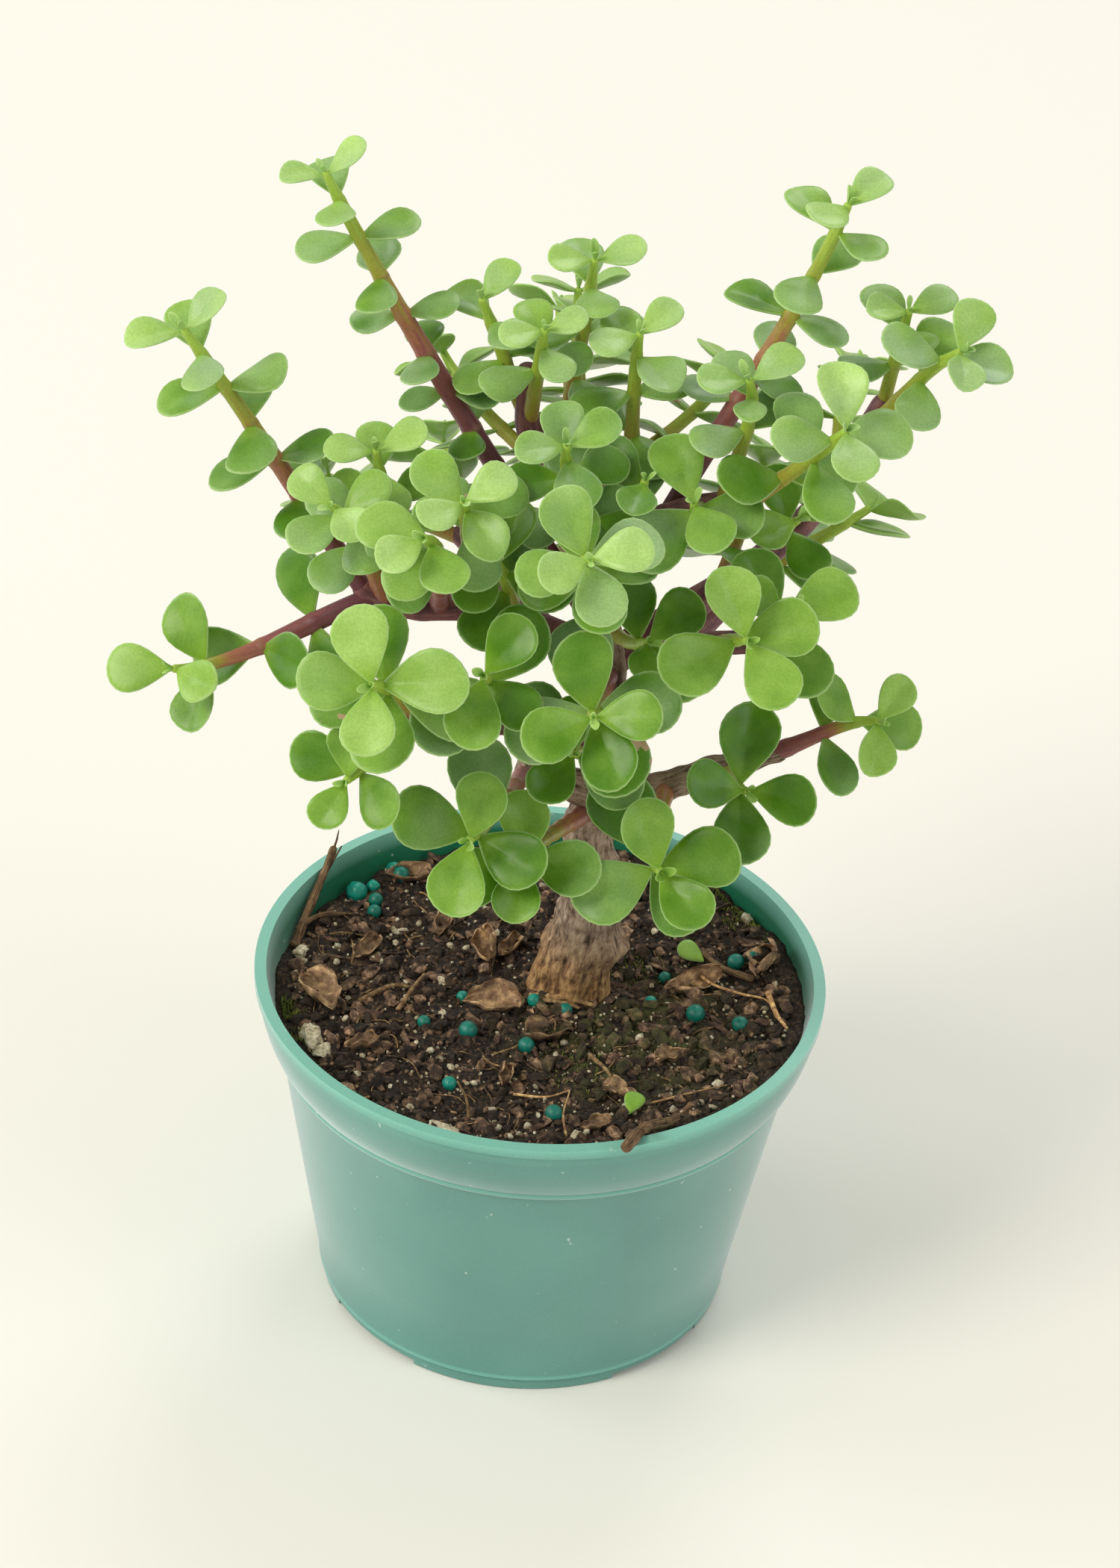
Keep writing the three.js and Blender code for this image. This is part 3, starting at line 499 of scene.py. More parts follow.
def grow():
    """Every shoot's path, and every leaf with its shoot and pair."""
    limbs = {name: through(points) for name, _, points, _, _ in LIMBS}
    shoots = {row[0]: bowed(row[2], row[3], row[4]) for row in SHOOTS}
    rods = {}
    for name, parent, _, foot, end in LIMBS:
        rods[name] = sampled(limbs[name], foot, end, 1 if parent else TRUNK_FLARE)
    for name in shoots:
        rods["shoot_" + name] = sampled(shoots[name], SHOOT_BASE_RADIUS, SHOOT_TIP_RADIUS, 1)
    leaves = []
    grown = {key: [] for key in ("base", "along", "face", "across", "length", "curl", "samples")}
    for index, (name, _, _, tip, _, roll, pairs, spacing, leaf_length, _) in enumerate(SHOOTS):
        path = shoots[name]
        light = BACK_LIGHT if tip[1] > LIGHT_DIVIDE else TOP_LIGHT if tip[2] > HIGH_TIP else FRONT_LIGHT
        light = np.array(light)
        for pair in range(pairs):
            back = spacing * (pair - FIRST_PAIR_SHIFT) if pair else FIRST_PAIR_BACK
            if back > path.length - BARE_FOOT:
                break
            share = 1 - back / path.length
            stage = min(pair, len(PAIR_SIZE) - 1)
            tangent = path.tangent(share)
            right = unit(np.cross(VIEW_UP, tangent))
            for half in (0, 1):
                seed = 17 * index + 2 * pair + half
                side = turned(right, tangent, roll + 90 * pair + 180 * half + TURN_SPREAD * jitter(seed))
                rise = PAIR_RISE[stage] + RISE_SPREAD * jitter(seed + 4)
                size = LEAF_SPAN * leaf_length * PAIR_SIZE[stage] * (1 + SIZE_SPREAD * jitter(seed + 8))
                base = path.at(share)[0]
                for lift, spin, scale in LEAF_TRIES:
                    leaf = leaf_frame(base, tangent, side, light, rise + lift, spin, size * scale,
                                      CURL_SPREAD * jitter(seed + 12))
                    if leaf_fits(leaf, grown, rods, "shoot_" + name):
                        for key in leaf:
                            grown[key].append(leaf[key])
                        grown["samples"].append(leaf_samples(leaf))
                        leaves.append({**leaf, "shoot": name, "pair": pair, "seed": seed})
                        break
    return shoots, leaves


# ---- modelling tools ----
def turning_frames(path, shares):
    """Tangent, and two directions across it that turn as little as they can, at each share of a path."""
    tangents = [path.tangent(s) for s in shares]
    across = unit(np.cross(tangents[0], (0.31, 0.17, 0.93) if abs(tangents[0][2]) < 0.9 else (1, 0.2, 0)))
    frames = []
    for tangent in tangents:
        across = unit(across - tangent * (across @ tangent))
        frames.append((tangent, across, np.cross(tangent, across)))
    return frames


def sweep(bm, path, radius_at, sides, step, marks=None, round_tip=True):
    """Extrudes a ring along a path, with a closed foot and a round or a cut tip.

    radius_at gives the radius at a distance from the foot; marks gives the values for the vertices' own
    layers there. The layer "skin" holds the place on the unrolled surface: round it, and along it in mm.
    """
    skin = bm.verts.layers.float_vector.get("skin") or bm.verts.layers.float_vector.new("skin")
    count = max(3, round(path.length / step))
    shares = list(np.arange(count + 1) / count)
    spots, frames = path.at(shares), turning_frames(path, shares)
    radii = [radius_at(s * path.length) for s in shares]
    rings = [(spots[i], frames[i], radii[i], shares[i] * path.length) for i in range(count + 1)]
    if round_tip:
        spot, (tangent, _, _), radius, along = rings[-1]
        for ahead, narrower in ((0.45, 0.86), (0.8, 0.5)):
            reach = radius * ahead
            rings.append((spot + tangent * reach, frames[-1], radius * narrower, along + reach))
    made = bmesh.ops.create_circle(bm, cap_ends=True, segments=sides, radius=1)["verts"]
    for v in made:
        v[skin] = (v.co.x, v.co.y, 0)
    edges = list({e for v in made for e in v.link_edges})
    last = Matrix.Identity(4)
    for number, (spot, (tangent, across, up), radius, along) in enumerate(rings):
        here = Matrix((across * radius, up * radius, tangent)).transposed().to_4x4()
        here.translation = Vector(spot)
        if number:
            geometry = bmesh.ops.extrude_edge_only(bm, edges=edges)["geom"]
            made = [g for g in geometry if isinstance(g, bmesh.types.BMVert)]
            new = set(made)
            edges = [g for g in geometry if isinstance(g, bmesh.types.BMEdge) and set(g.verts) <= new]
        bmesh.ops.transform(bm, matrix=here @ last.inverted(), verts=made)
        last = here
        for v in made:
            v[skin] = (v[skin].x, v[skin].y, along)
            for layer, value in (marks(along) if marks else {}).items():
                v[layer] = value
    bmesh.ops.contextual_create(bm, geom=edges)
    bmesh.ops.recalc_face_normals(bm, faces=bm.faces)


def swelling(x, rings, before, after):
    """How near x is to one of the rings: a smooth bump from 0 before it up to 1 and back to 0 after it."""
    bumps = (math.sin(math.pi * (x - ring + before) / (before + after)) ** 2 for ring in rings
             if ring - before < x < ring + after)
    return max(bumps, default=0)


def revolve(bm, outline, steps):
    """Spins an outline of radii and heights a full turn."""
    spots = [bm.verts.new((r, 0, z)) for r, z in outline]
    edges = [bm.edges.new(pair) for pair in zip(spots, spots[1:])]
    bmesh.ops.spin(bm, geom=spots + edges, axis=(0, 0, 1), cent=(0, 0, 0), angle=2 * math.pi,
                   steps=steps, use_merge=True)
    bmesh.ops.remove_doubles(bm, verts=bm.verts, dist=0.001)


def ease_edges(bm, edges, offset, segments):
    """Rounds edges and gives the vertices that this makes."""
    return bmesh.ops.bevel(bm, geom=edges, offset=offset, offset_type="OFFSET", affect="EDGES",
                           segments=segments, profile=0.5, material=-1)["verts"]


# ---- materials ----
def rgba(colour):
    """A hex colour, a colour setting or a grey as linear values, with an alpha of 1."""
    if isinstance(colour, str):
        colour = linear(colour)
    elif isinstance(colour, (int, float)):
        colour = (colour,) * 3
    return (*colour, 1.0)


def fill(made, inputs):
    """Sets a node's inputs to values, or links them to an output or to a node's only live output."""
    for key, value in inputs.items():
        socket = made.inputs[key]
        if isinstance(value, bpy.types.Node):
            value = next(output for output in value.outputs if output.enabled)
        if isinstance(value, bpy.types.NodeSocket):
            made.id_data.links.new(value, socket)
        else:
            socket.default_value = rgba(value) if socket.type == "RGBA" else value


def add(tree, kind, inputs=None, stops=None, **settings):
    """Adds a node with its settings, its inputs as values or links, and its colour stops."""
    made = tree.nodes.new("ShaderNode" + kind)
    for name, value in settings.items():
        setattr(made, name, value)
    if stops:
        elements = made.color_ramp.elements
        while len(elements) < len(stops):
            elements.new(0.5)
        for element, (position, colour) in zip(elements, stops):
            element.position = position
            element.color = rgba(colour)
    fill(made, inputs or {})
    return made


def new_material(name):
    """An empty material, the function that adds nodes to it, and its Principled shader."""
    material = bpy.data.materials.new(name)
    material.use_nodes = True
    material.node_tree.nodes.clear()
    node = partial(add, material.node_tree)
    shader = node("BsdfPrincipled")
    node("OutputMaterial", {"Surface": shader})
    return material, node, shader


def per_mm(size):
    """A noise scale whose patches measure about this many millimetres, on coordinates in metres."""
    return 1 / (size * MM)


def leaf_tissue(colours):
    """Leaf of a succulent: water-filled tissue under a smooth waxy skin. Green deepens with age, the thin
    margin lets light through, the skin is finely grained and shines softly. A pale grey-green lies on it in
    drifts, part waxy bloom and part painted sheen, most on some older leaves and on the highest ones. The grain
    is drawn at half a millimetre, coarser than it is, so that it shows."""
    material, node, shader = new_material("Leaf tissue, waxy skin")
    place = node("TexCoord").outputs["Object"]
    rim, along, under, age, bloom_and_sheen, worn = (
        node("Attribute", attribute_name=key).outputs["Fac"] for key in LEAF_LAYERS)
    clouds = node("TexNoise", {"Vector": place, "Scale": per_mm(9), "Detail": 2.0})
    grain = node("TexNoise", {"Vector": place, "Scale": per_mm(0.5), "Detail": 1.5})
    aged = node("Math", {0: clouds, 1: 0.6, 2: -0.3}, operation="MULTIPLY_ADD")
    aged = node("Math", {0: age, 1: aged}, operation="ADD", use_clamp=True)
    green = node("ValToRGB", {"Fac": aged}, stops=(
        (0.0, colours.leaf_young), (0.38, colours.leaf_middle), (0.75, colours.leaf_deep), (1.0, "3C680A")))
    drifts = node("TexNoise", {"Vector": place, "Scale": per_mm(13), "Detail": 1.0})
    drifts = node("MapRange", {0: drifts, 1: 0.35, 2: 0.65, 3: 0.1, 4: 1.5})
    # Pale grey-green in drifts: part waxy bloom, part painted sheen.
    bloom_sheen_share = node("Math", {0: bloom_and_sheen, 1: drifts}, operation="MULTIPLY", use_clamp=True)
    beneath = node("Math", {0: under, 1: 0.35}, operation="MULTIPLY")
    foot = node("ValToRGB", {"Fac": along}, stops=((0.06, 1), (0.4, 0)))
    foot = node("Math", {0: foot, 1: 0.55}, operation="MULTIPLY")
    for share, colour in ((bloom_sheen_share, colours.leaf_bloom_sheen), (beneath, "86AC5E"), (foot, "94BC3C")):
        green = node("Mix", {0: share, 6: green, 7: colour}, data_type="RGBA")
    speckle = node("ValToRGB", {"Fac": grain}, stops=((0.34, (0.87, 0.9, 0.86)), (0.66, (1.09, 1.07, 1.12))))
    green = node("Mix", {0: 0.8, 6: green, 7: speckle}, data_type="RGBA", blend_type="MULTIPLY")
    margin = node("ValToRGB", {"Fac": rim}, stops=((0.94, 0), (0.985, 1)))
    margin = node("Math", {0: margin, 1: 0.5}, operation="MULTIPLY")
    patches = node("TexNoise", {"Vector": place, "Scale": per_mm(3.5), "Detail": 3.0})
    scar = node("ValToRGB", {"Fac": patches}, stops=((0.62, 0), (0.66, 1)))
    scar = node("Math", {0: scar, 1: worn}, operation="MULTIPLY")
    for share, colour in ((margin, "BEDD98"), (scar, "B3997A")):
        green = node("Mix", {0: share, 6: green, 7: colour}, data_type="RGBA")
    gloss = node("MapRange", {0: grain, 3: 0.25, 4: 0.42})
    skin = node("Bump", {"Height": grain, "Strength": 0.18, "Distance": 0.1 * MM})
    swell = node("Bump", {"Height": clouds, "Strength": 0.25, "Distance": 0.8 * MM, "Normal": skin})
    fill(shader, {"Base Color": green, "Roughness": gloss, "Normal": swell, "IOR": 1.42,
                  "Specular IOR Level": 0.42, "Subsurface Weight": 0.12,
                  "Subsurface Radius": (0.6, 1.0, 0.25), "Subsurface Scale": 1.2 * MM})
    return material


def stem_skin(colours):
    """Skin of a young succulent stem: green at the tip, brown where it starts to ripen and wine red below,
    finely wrinkled along its length, with a pale scar round it at each node."""
    material, node, shader = new_material("Young stem skin, smooth and fleshy")
    skin = node("Attribute", attribute_name="skin").outputs["Vector"]
    ripeness, scar = (node("Attribute", attribute_name=key).outputs["Fac"] for key in ("age", "node"))
    stretched = node("Mapping", {"Vector": skin, "Scale": (1.0, 1.0, 0.08)})
    streaks = node("TexNoise", {"Vector": stretched, "Scale": 2.4, "Detail": 3.0})
    blush = node("Math", {0: streaks, 1: 0.42, 2: -0.21}, operation="MULTIPLY_ADD")
    blush = node("Math", {0: ripeness, 1: blush}, operation="ADD", use_clamp=True)
    colour = node("ValToRGB", {"Fac": blush}, stops=(
        (0.0, "A2C44C"), (0.2, colours.stem_young), (0.42, "9F9238"), (0.55, "A8714C"),
        (0.72, colours.stem_ripe), (1.0, "6E3F48")))
    fine = node("TexNoise", {"Vector": skin, "Scale": 3.5, "Detail": 2.0})
    tint = node("ValToRGB", {"Fac": fine}, stops=((0.3, 0.82), (0.7, 1.12)))
    colour = node("Mix", {0: 0.8, 6: colour, 7: tint}, data_type="RGBA", blend_type="MULTIPLY")
    ring = node("Math", {0: scar, 1: 0.7}, operation="MULTIPLY")
    colour = node("Mix", {0: ring, 6: colour, 7: "8A6A4A"}, data_type="RGBA")
    relief = node("Bump", {"Height": streaks, "Strength": 0.35, "Distance": 0.2 * MM})
    fill(shader, {"Base Color": colour, "Normal": relief, "Roughness": 0.42, "IOR": 1.42})
    return material


def bark(name, pale, middle, dark, crack_mm, gloss, relief):
    """Bark: dry fibres in long ridges over darker cracks, with lighter flakes, earthy brown near the soil."""
    material, node, shader = new_material(name)
    skin = node("Attribute", attribute_name="skin").outputs["Vector"]
    place = node("TexCoord").outputs["Object"]
    earthy, scar = (node("Attribute", attribute_name=key).outputs["Fac"] for key in ("age", "node"))
    long = node("Mapping", {"Vector": skin, "Scale": (6.0, 6.0, 0.22)})
    ridges = node("TexNoise", {"Vector": long, "Scale": 1 / crack_mm, "Detail": 5.0, "Roughness": 0.65})
    flakes = node("TexNoise", {"Vector": place, "Scale": per_mm(2.6), "Detail": 5.0, "Roughness": 0.7})
    half = node("Mix", {0: 0.35, 2: ridges, 3: flakes})
    colour = node("ValToRGB", {"Fac": half}, stops=((0.38, dark), (0.47, middle), (0.58, pale)))
    golden = node("ValToRGB", {"Fac": half}, stops=((0.4, "3E2814"), (0.49, "8A6238"), (0.6, "C09A62")))
    ring = node("Math", {0: scar, 1: 0.5}, operation="MULTIPLY")
    for share, other in ((earthy, golden), (ring, dark)):
        colour = node("Mix", {0: share, 6: colour, 7: other}, data_type="RGBA")
    rough = node("Bump", {"Height": half, "Strength": relief, "Distance": 0.6 * MM})
    fill(shader, {"Base Color": colour, "Normal": rough, "Roughness": gloss})
    return material


def moulded_plastic(colours):
    """Injection-moulded polypropylene: satin, finely grained, with a pale dusty sheen and a few specks. The inner
    wall is painted darker as shade, and the lip's top, side and beads paler as painted highlights. The grain is
    drawn at half a millimetre, coarser than it is, so that it shows."""
    material, node, shader = new_material("Polypropylene, injection moulded")
    place = node("TexCoord").outputs["Object"]
    inside_shade, lip_highlight = (node("Attribute", attribute_name=key).outputs["Fac"] for key in ("inside_shade", "lip_highlight"))
    grain = node("TexNoise", {"Vector": place, "Scale": per_mm(0.5), "Detail": 2.0})
    flow = node("TexNoise", {"Vector": place, "Scale": per_mm(30), "Detail": 2.0})
    colour = node("ValToRGB", {"Fac": flow}, stops=((0.3, colours.pot_outside), (0.7, "62998F")))
    # Painted shade darkens the inner wall; painted highlight makes the lip's top, side and beads paler.
    for share, other in ((inside_shade, colours.pot_inside_shade), (lip_highlight, colours.pot_rim_highlight)):
        colour = node("Mix", {0: share, 6: colour, 7: other}, data_type="RGBA")
    speckle = node("ValToRGB", {"Fac": grain}, stops=((0.3, 0.93), (0.7, 1.05)))
    colour = node("Mix", {0: 0.7, 6: colour, 7: speckle}, data_type="RGBA", blend_type="MULTIPLY")
    dust = node("TexNoise", {"Vector": place, "Scale": per_mm(2.2), "Detail": 1.0})
    dust = node("MapRange", {0: dust, 1: 0.76, 2: 0.8, 3: 0.0, 4: 0.55})
    colour = node("Mix", {0: dust, 6: colour, 7: "C9DDD6"}, data_type="RGBA")
    gloss = node("MapRange", {0: grain, 3: 0.3, 4: 0.42})
    dull = node("Bump", {"Height": grain, "Strength": 0.12, "Distance": 0.08 * MM})
    fill(shader, {"Base Color": colour, "Roughness": gloss, "Normal": dull, "IOR": 1.49,
                  "Sheen Weight": 1.0, "Sheen Roughness": 0.35, "Sheen Tint": "E6ECF2"})
    return material


def grainy(name, stops, patch_mm, gloss=0.9, relief=0.5, tissue=0.0, tones=(0.6, 1.45), film=0.0):
    """A dry broken surface, such as peat, perlite, bark crumbs or dead leaf, in patches of a real size."""
    material, node, shader = new_material(name)
    place = node("TexCoord").outputs["Object"]
    lot = node("Attribute", attribute_name="lot").outputs["Fac"]
    patches = node("TexNoise", {"Vector": place, "Scale": per_mm(patch_mm), "Detail": 5.0, "Roughness": 0.65})
    colour = node("ValToRGB", {"Fac": patches}, stops=stops)
    bright = node("MapRange", {0: lot, 3: tones[0], 4: tones[1]})
    colour = node("Mix", {0: 1.0, 6: colour, 7: bright}, data_type="RGBA", blend_type="MULTIPLY")
    if film:
        away = node("VectorMath", {0: place, 1: Vector(DAMP_SPOT) * MM}, operation="DISTANCE")
        near = node("MapRange", {0: away, 1: DAMP_REACH * MM, 2: DAMP_CORE * MM, 3: 0.0, 4: film})
        tufts = node("TexNoise", {"Vector": place, "Scale": per_mm(5), "Detail": 3.0})
        tufts = node("MapRange", {0: tufts, 1: 0.4, 2: 0.62})
        near = node("Math", {0: near, 1: tufts}, operation="MULTIPLY")
        colour = node("Mix", {0: near, 6: colour, 7: "4C5026"}, data_type="RGBA")
    rough = node("Bump", {"Height": patches, "Strength": relief, "Distance": 0.4 * MM})
    fill(shader, {"Base Color": colour, "Normal": rough, "Roughness": gloss,
                  "Subsurface Weight": tissue, "Subsurface Scale": 1 * MM})
    return material


# ---- pot ----
def pot_inner_radius(z):
    side_top = COLLAR_FOOT_RADIUS - SHOULDER
    if z >= SHOULDER_Z:
        return side_top - WALL + (RIM_RADIUS - RIM_WIDTH - side_top + WALL) * (z - SHOULDER_Z) / COLLAR_HEIGHT
    share = (z - FOOT_HEIGHT) / (SHOULDER_Z - FOOT_HEIGHT)
    return BASE_RADIUS - WALL + (side_top - BASE_RADIUS) * share


def pot_outline():
    """The wall's section, from the middle of the underside round the outside and the lip to the inside."""
    floor_z, lip_z = FOOT_HEIGHT - FLOOR, POT_HEIGHT - LIP_HEIGHT
    foot, lip_foot = BASE_RADIUS - FOOT_INSET, RIM_RADIUS - LIP_OVERHANG
    side_top, side_height = COLLAR_FOOT_RADIUS - SHOULDER, SHOULDER_Z - FOOT_HEIGHT
    points = [(0, 0), (PAD_RADIUS, 0), (PAD_RADIUS, floor_z), (foot - FOOT_WIDTH, floor_z),
              (foot - FOOT_WIDTH, 0), (foot, 0), (foot + 0.25, FOOT_HEIGHT / 2), (foot, FOOT_HEIGHT - 0.7),
              (BASE_RADIUS + 0.15, FOOT_HEIGHT - 0.3), (BASE_RADIUS + 0.15, FOOT_HEIGHT + 0.3),
              (BASE_RADIUS, FOOT_HEIGHT + 0.9)]
    for share in (0.25, 0.5, 0.75, 0.94):
        points.append((BASE_RADIUS + (side_top - BASE_RADIUS) * share, FOOT_HEIGHT + side_height * share))
    points += [(side_top, SHOULDER_Z - 0.9), (COLLAR_FOOT_RADIUS - 0.15, SHOULDER_Z - 0.45),
               (COLLAR_FOOT_RADIUS + 0.12, SHOULDER_Z), (COLLAR_FOOT_RADIUS + 0.12, SHOULDER_Z + 0.5),
               (COLLAR_FOOT_RADIUS + 0.05, SHOULDER_Z + 0.9)]
    for share in (0.2, 0.4, 0.6, 0.8):
        flare = (lip_foot - COLLAR_FOOT_RADIUS) * (share + 0.9 * share * (1 - share))
        points.append((COLLAR_FOOT_RADIUS + flare, SHOULDER_Z + (lip_z - SHOULDER_Z) * share))
    points += [(lip_foot, lip_z), (RIM_RADIUS, lip_z), (RIM_RADIUS, POT_HEIGHT),
               (RIM_RADIUS - RIM_WIDTH, POT_HEIGHT)]
    for share in (0.25, 0.5, 0.75, 1.0):
        z = POT_HEIGHT - COLLAR_HEIGHT * share
        points.append((pot_inner_radius(z), z))
    return points + [(pot_inner_radius(FOOT_HEIGHT), FOOT_HEIGHT), (0, FOOT_HEIGHT)]


def cutter(name, length, width, height, radius, count):
    """Blocks with rounded corners, set in a ring, that cut openings out of the pot."""
    bm = bmesh.new()
    for i in range(count):
        block = bmesh.ops.create_cube(bm, size=1)["verts"]
        bmesh.ops.scale(bm, vec=(length, width, height), verts=block)
        upright = [e for e in bm.edges if e.verts[0] in block
                   and abs(e.verts[0].co.z - e.verts[1].co.z) > height / 2]
        rounded = ease_edges(bm, upright, min(length, width) * CUTTER_ROUND, 4)
        block = list({v for v in block if v.is_valid} | set(rounded))
        place = Matrix.Rotation(2 * math.pi * (i + 0.5) / count, 4, "Z") @ Matrix.Translation((radius, 0, 0))
        bmesh.ops.transform(bm, matrix=place, verts=block)
    return as_object(name, bm)


def lip_highlight_share(z, within):
    """How much painted highlight, the lip's pale colour, there is at a height: all on its flat top, some on side
    and beads.
    """
    if z > POT_HEIGHT - 0.1:
        return 1.0
    if within:
        return 0.0
    if z > POT_HEIGHT - LIP_HEIGHT - 0.1:
        return 0.35
    return 0.5 if abs(z - SHOULDER_Z - 0.2) < BEAD_REACH or abs(z - FOOT_HEIGHT) < BEAD_REACH else 0.0


def model_pot(sizes, colours):
    bm = bmesh.new()
    revolve(bm, pot_outline(), sizes.sides)
    bmesh.ops.recalc_face_normals(bm, faces=bm.faces)
    piece = finish("nursery_pot", bm, moulded_plastic(colours), "pot", raised=False)
    bpy.context.view_layer.objects.active = piece
    ring_middle = BASE_RADIUS - FOOT_INSET - FOOT_WIDTH / 2
    for name, *block in (
            ("notches", 3 * FOOT_WIDTH, sizes.notch_length / MM, NOTCH_HEIGHT, ring_middle, NOTCHES),
            ("drain slots", SLOT_LENGTH, SLOT_WIDTH, 4 * FOOT_HEIGHT, SLOT_RADIUS, SLOTS)):
        tool = cutter(name, *block)
        cut = piece.modifiers.new(name, "BOOLEAN")
        cut.object = tool
        cut.operation = "DIFFERENCE"
        bpy.ops.object.modifier_apply(modifier=cut.name)
        bpy.data.objects.remove(tool)
    rounding = piece.modifiers.new("Rounded edges", "BEVEL")
    rounding.width = sizes.edge_round
    rounding.segments = 2
    rounding.limit_method = "ANGLE"
    rounding.angle_limit = math.radians(38)
    rounding.harden_normals = True
    bm = bmesh.new()
    bm.from_mesh(piece.data)
    inside_shade, lip_highlight = float_layers(bm, "inside_shade", "lip_highlight")
    for v in bm.verts:
        z, r = v.co.z / MM, math.hypot(v.co.x, v.co.y) / MM
        within = z > FOOT_HEIGHT - 0.01 and r < pot_inner_radius(z) + 0.3
        # Painted shade: the inner wall above the floor takes the darker inside colour.
        v[inside_shade] = float(within and z < POT_HEIGHT - 0.1)
        # Painted highlight: the lip's top, and some of its side and beads, take the pale rim colour.
        v[lip_highlight] = lip_highlight_share(z, within)
    smooth_faces(bm)
    bm.to_mesh(piece.data)
    bm.free()


# ---- soil and what lies on it ----
def from_trunk(x, y):
    return math.hypot(x - TRUNK_FOOT[0], y - TRUNK_FOOT[1])


def soil_height(x, y):
    """Height of the soil over its average level, as in the part."""
    away = from_trunk(x, y) / MOUND_SPREAD
    wave = 2 * math.pi / LUMP_SPACING
    lumps = SOIL_LUMP * math.sin(wave * x + 1) * math.cos(0.8 * wave * y)
    return SOIL_TILT * (x - y) + SOIL_MOUND * math.exp(-away * away) + lumps


def ground(x, y):
    """The soil's surface with its clods, from 2 to 8 mm across, banked up against the wall."""
    spot = Vector((x, y, 0))
    clods = 1.2 * noise.fractal(spot / 7, 0.7, 2.1, 4) + 0.6 * noise.noise(spot / 1.7)
    return soil_height(x, y) + clods + BANK_HEIGHT * smoothstep(BANK_START, BANK_END, math.hypot(x, y))


def on_soil(x, y, lift):
    """A shift to a place on the soil, so far over its surface."""
    return Matrix.Translation((x, y, ground(x, y) + lift))


def off_wall(x, y, reach):
    """A place drawn in until something that reaches so far round it clears the pot's wall."""
    over = math.hypot(x, y) / (pot_inner_radius(SOIL_TOP) - 0.3 - reach)
    return (x / over, y / over) if over > 1 else (x, y)


def lay(name, bm, material, sharp_degrees=None, levels=0):
    """Finishes a piece that is the soil or lies on it."""
    smooth_faces(bm, sharp_degrees)
    finish(name, bm, material, "soil", levels=levels)


def model_soil(sizes):
    bm = bmesh.new()
    lot, = float_layers(bm, "lot")
    edge, rings = pot_inner_radius(SOIL_TOP) - SOIL_SLACK, sizes.rings
    outline = [(0, FOOT_HEIGHT + 0.1 - SOIL_TOP)]
    for z in (FOOT_HEIGHT + 0.1, SHOULDER_Z):
        outline.append((pot_inner_radius(z) - 0.1, z - SOIL_TOP))
    revolve(bm, outline + [(edge * ring / rings, 0) for ring in range(rings, -1, -1)], sizes.spokes)
    for v in bm.verts:
        if v.co.z > -0.01:
            z = ground(v.co.x, v.co.y)
            fit = (pot_inner_radius(SOIL_TOP + z) - SOIL_SLACK) / edge
            v.co = (v.co.x * fit, v.co.y * fit, z)
        v[lot] = 0.5 + 0.5 * noise.noise(v.co / 5)
    bmesh.ops.recalc_face_normals(bm, faces=bm.faces)
    stops = ((0.34, "0E0A08"), (0.48, "271D17"), (0.6, "473728"), (0.74, "7A6450"))
    lay("soil_surface", bm, grainy("Peat and bark mix, moist", stops, 1.1, 0.95, 1.0, film=0.8))


class Scatter:
    """Draws places on the soil and turns for the bits that lie on it, the same each time."""

    def __init__(self, seed):
        self.random = random.Random(seed)

    def spot(self, reach=0.97):
        """A place on the soil, clear of the trunk."""
        while True:
            radius = (pot_inner_radius(SOIL_TOP) - 1) * reach * math.sqrt(self.random.random())
            angle = 2 * math.pi * self.random.random()
            x, y = radius * math.cos(angle), radius * math.sin(angle)
            if from_trunk(x, y) > TRUNK_CLEARANCE:
                return x, y

    def between(self, low, high):
        return low + (high - low) * self.random.random()

    def turn(self, tilt=1.0):
        """A turn about the upright, with a tilt up to a share of a half turn either way."""
        spin = Matrix.Rotation(2 * math.pi * self.random.random(), 4, "Z")
        lean = Matrix.Rotation(math.pi * tilt * (self.random.random() - 0.5), 4, "X")
        return spin @ lean


def in_batches(count, model, size=60):
    """Models many small pieces a batch at a time, which keeps the operators quick, and gathers them."""
    whole = bmesh.new()
    for start in range(0, count, size):
        batch = bmesh.new()
        lot, = float_layers(batch, "lot")
        for number in range(start, min(count, start + size)):
            model(batch, lot, number)
        mesh = bpy.data.meshes.new("batch")
        batch.to_mesh(mesh)
        batch.free()
        whole.from_mesh(mesh)
        bpy.data.meshes.remove(mesh)
    return whole


def shape(v, size, pull):
    """Draws a vertex of a unit ball or block out to its size."""
    v.co = Vector((v.co.x * size[0], v.co.y * size[1], v.co.z * size[2])) * pull


def lump(bm, lot, place, size, tone, detail=1, rough=0.35, seed=0.0):
    """A lump: a ball pulled out of round by noise."""
    verts = bmesh.ops.create_icosphere(bm, subdivisions=detail, radius=1)["verts"]
    for v in verts:
        shape(v, size, 1 + rough * noise.noise(v.co * 1.3 + Vector((seed, 2 * seed, 0.0))))
        v[lot] = tone
    bmesh.ops.transform(bm, matrix=place, verts=verts)


def model_crumbs(sizes):
    """Peat crumbs and bark bits, from half a millimetre to three across."""
    draw = Scatter(11)

    def crumb(bm, lot, number):
        x, y = draw.spot()
        size = draw.between(0.25, 0.8) if number % 6 else draw.between(0.8, 2.2)
        flat = draw.between(0.4, 1)
        place = on_soil(x, y, 0.3 * size) @ draw.turn()
        lump(bm, lot, place, (size, size * draw.between(0.5, 1), size * flat), draw.random.random() ** 3,
             rough=0.8, seed=number)

    stops = ((0.35, "1C1410"), (0.5, "3F3025"), (0.66, "705A45"))
    crumbs = grainy("Peat crumbs and bark fines", stops, 1.6, 0.95, 0.6, tones=(0.4, 4.2), film=0.7)
    lay("soil_crumbs", in_batches(sizes.crumbs, crumb), crumbs, 50)


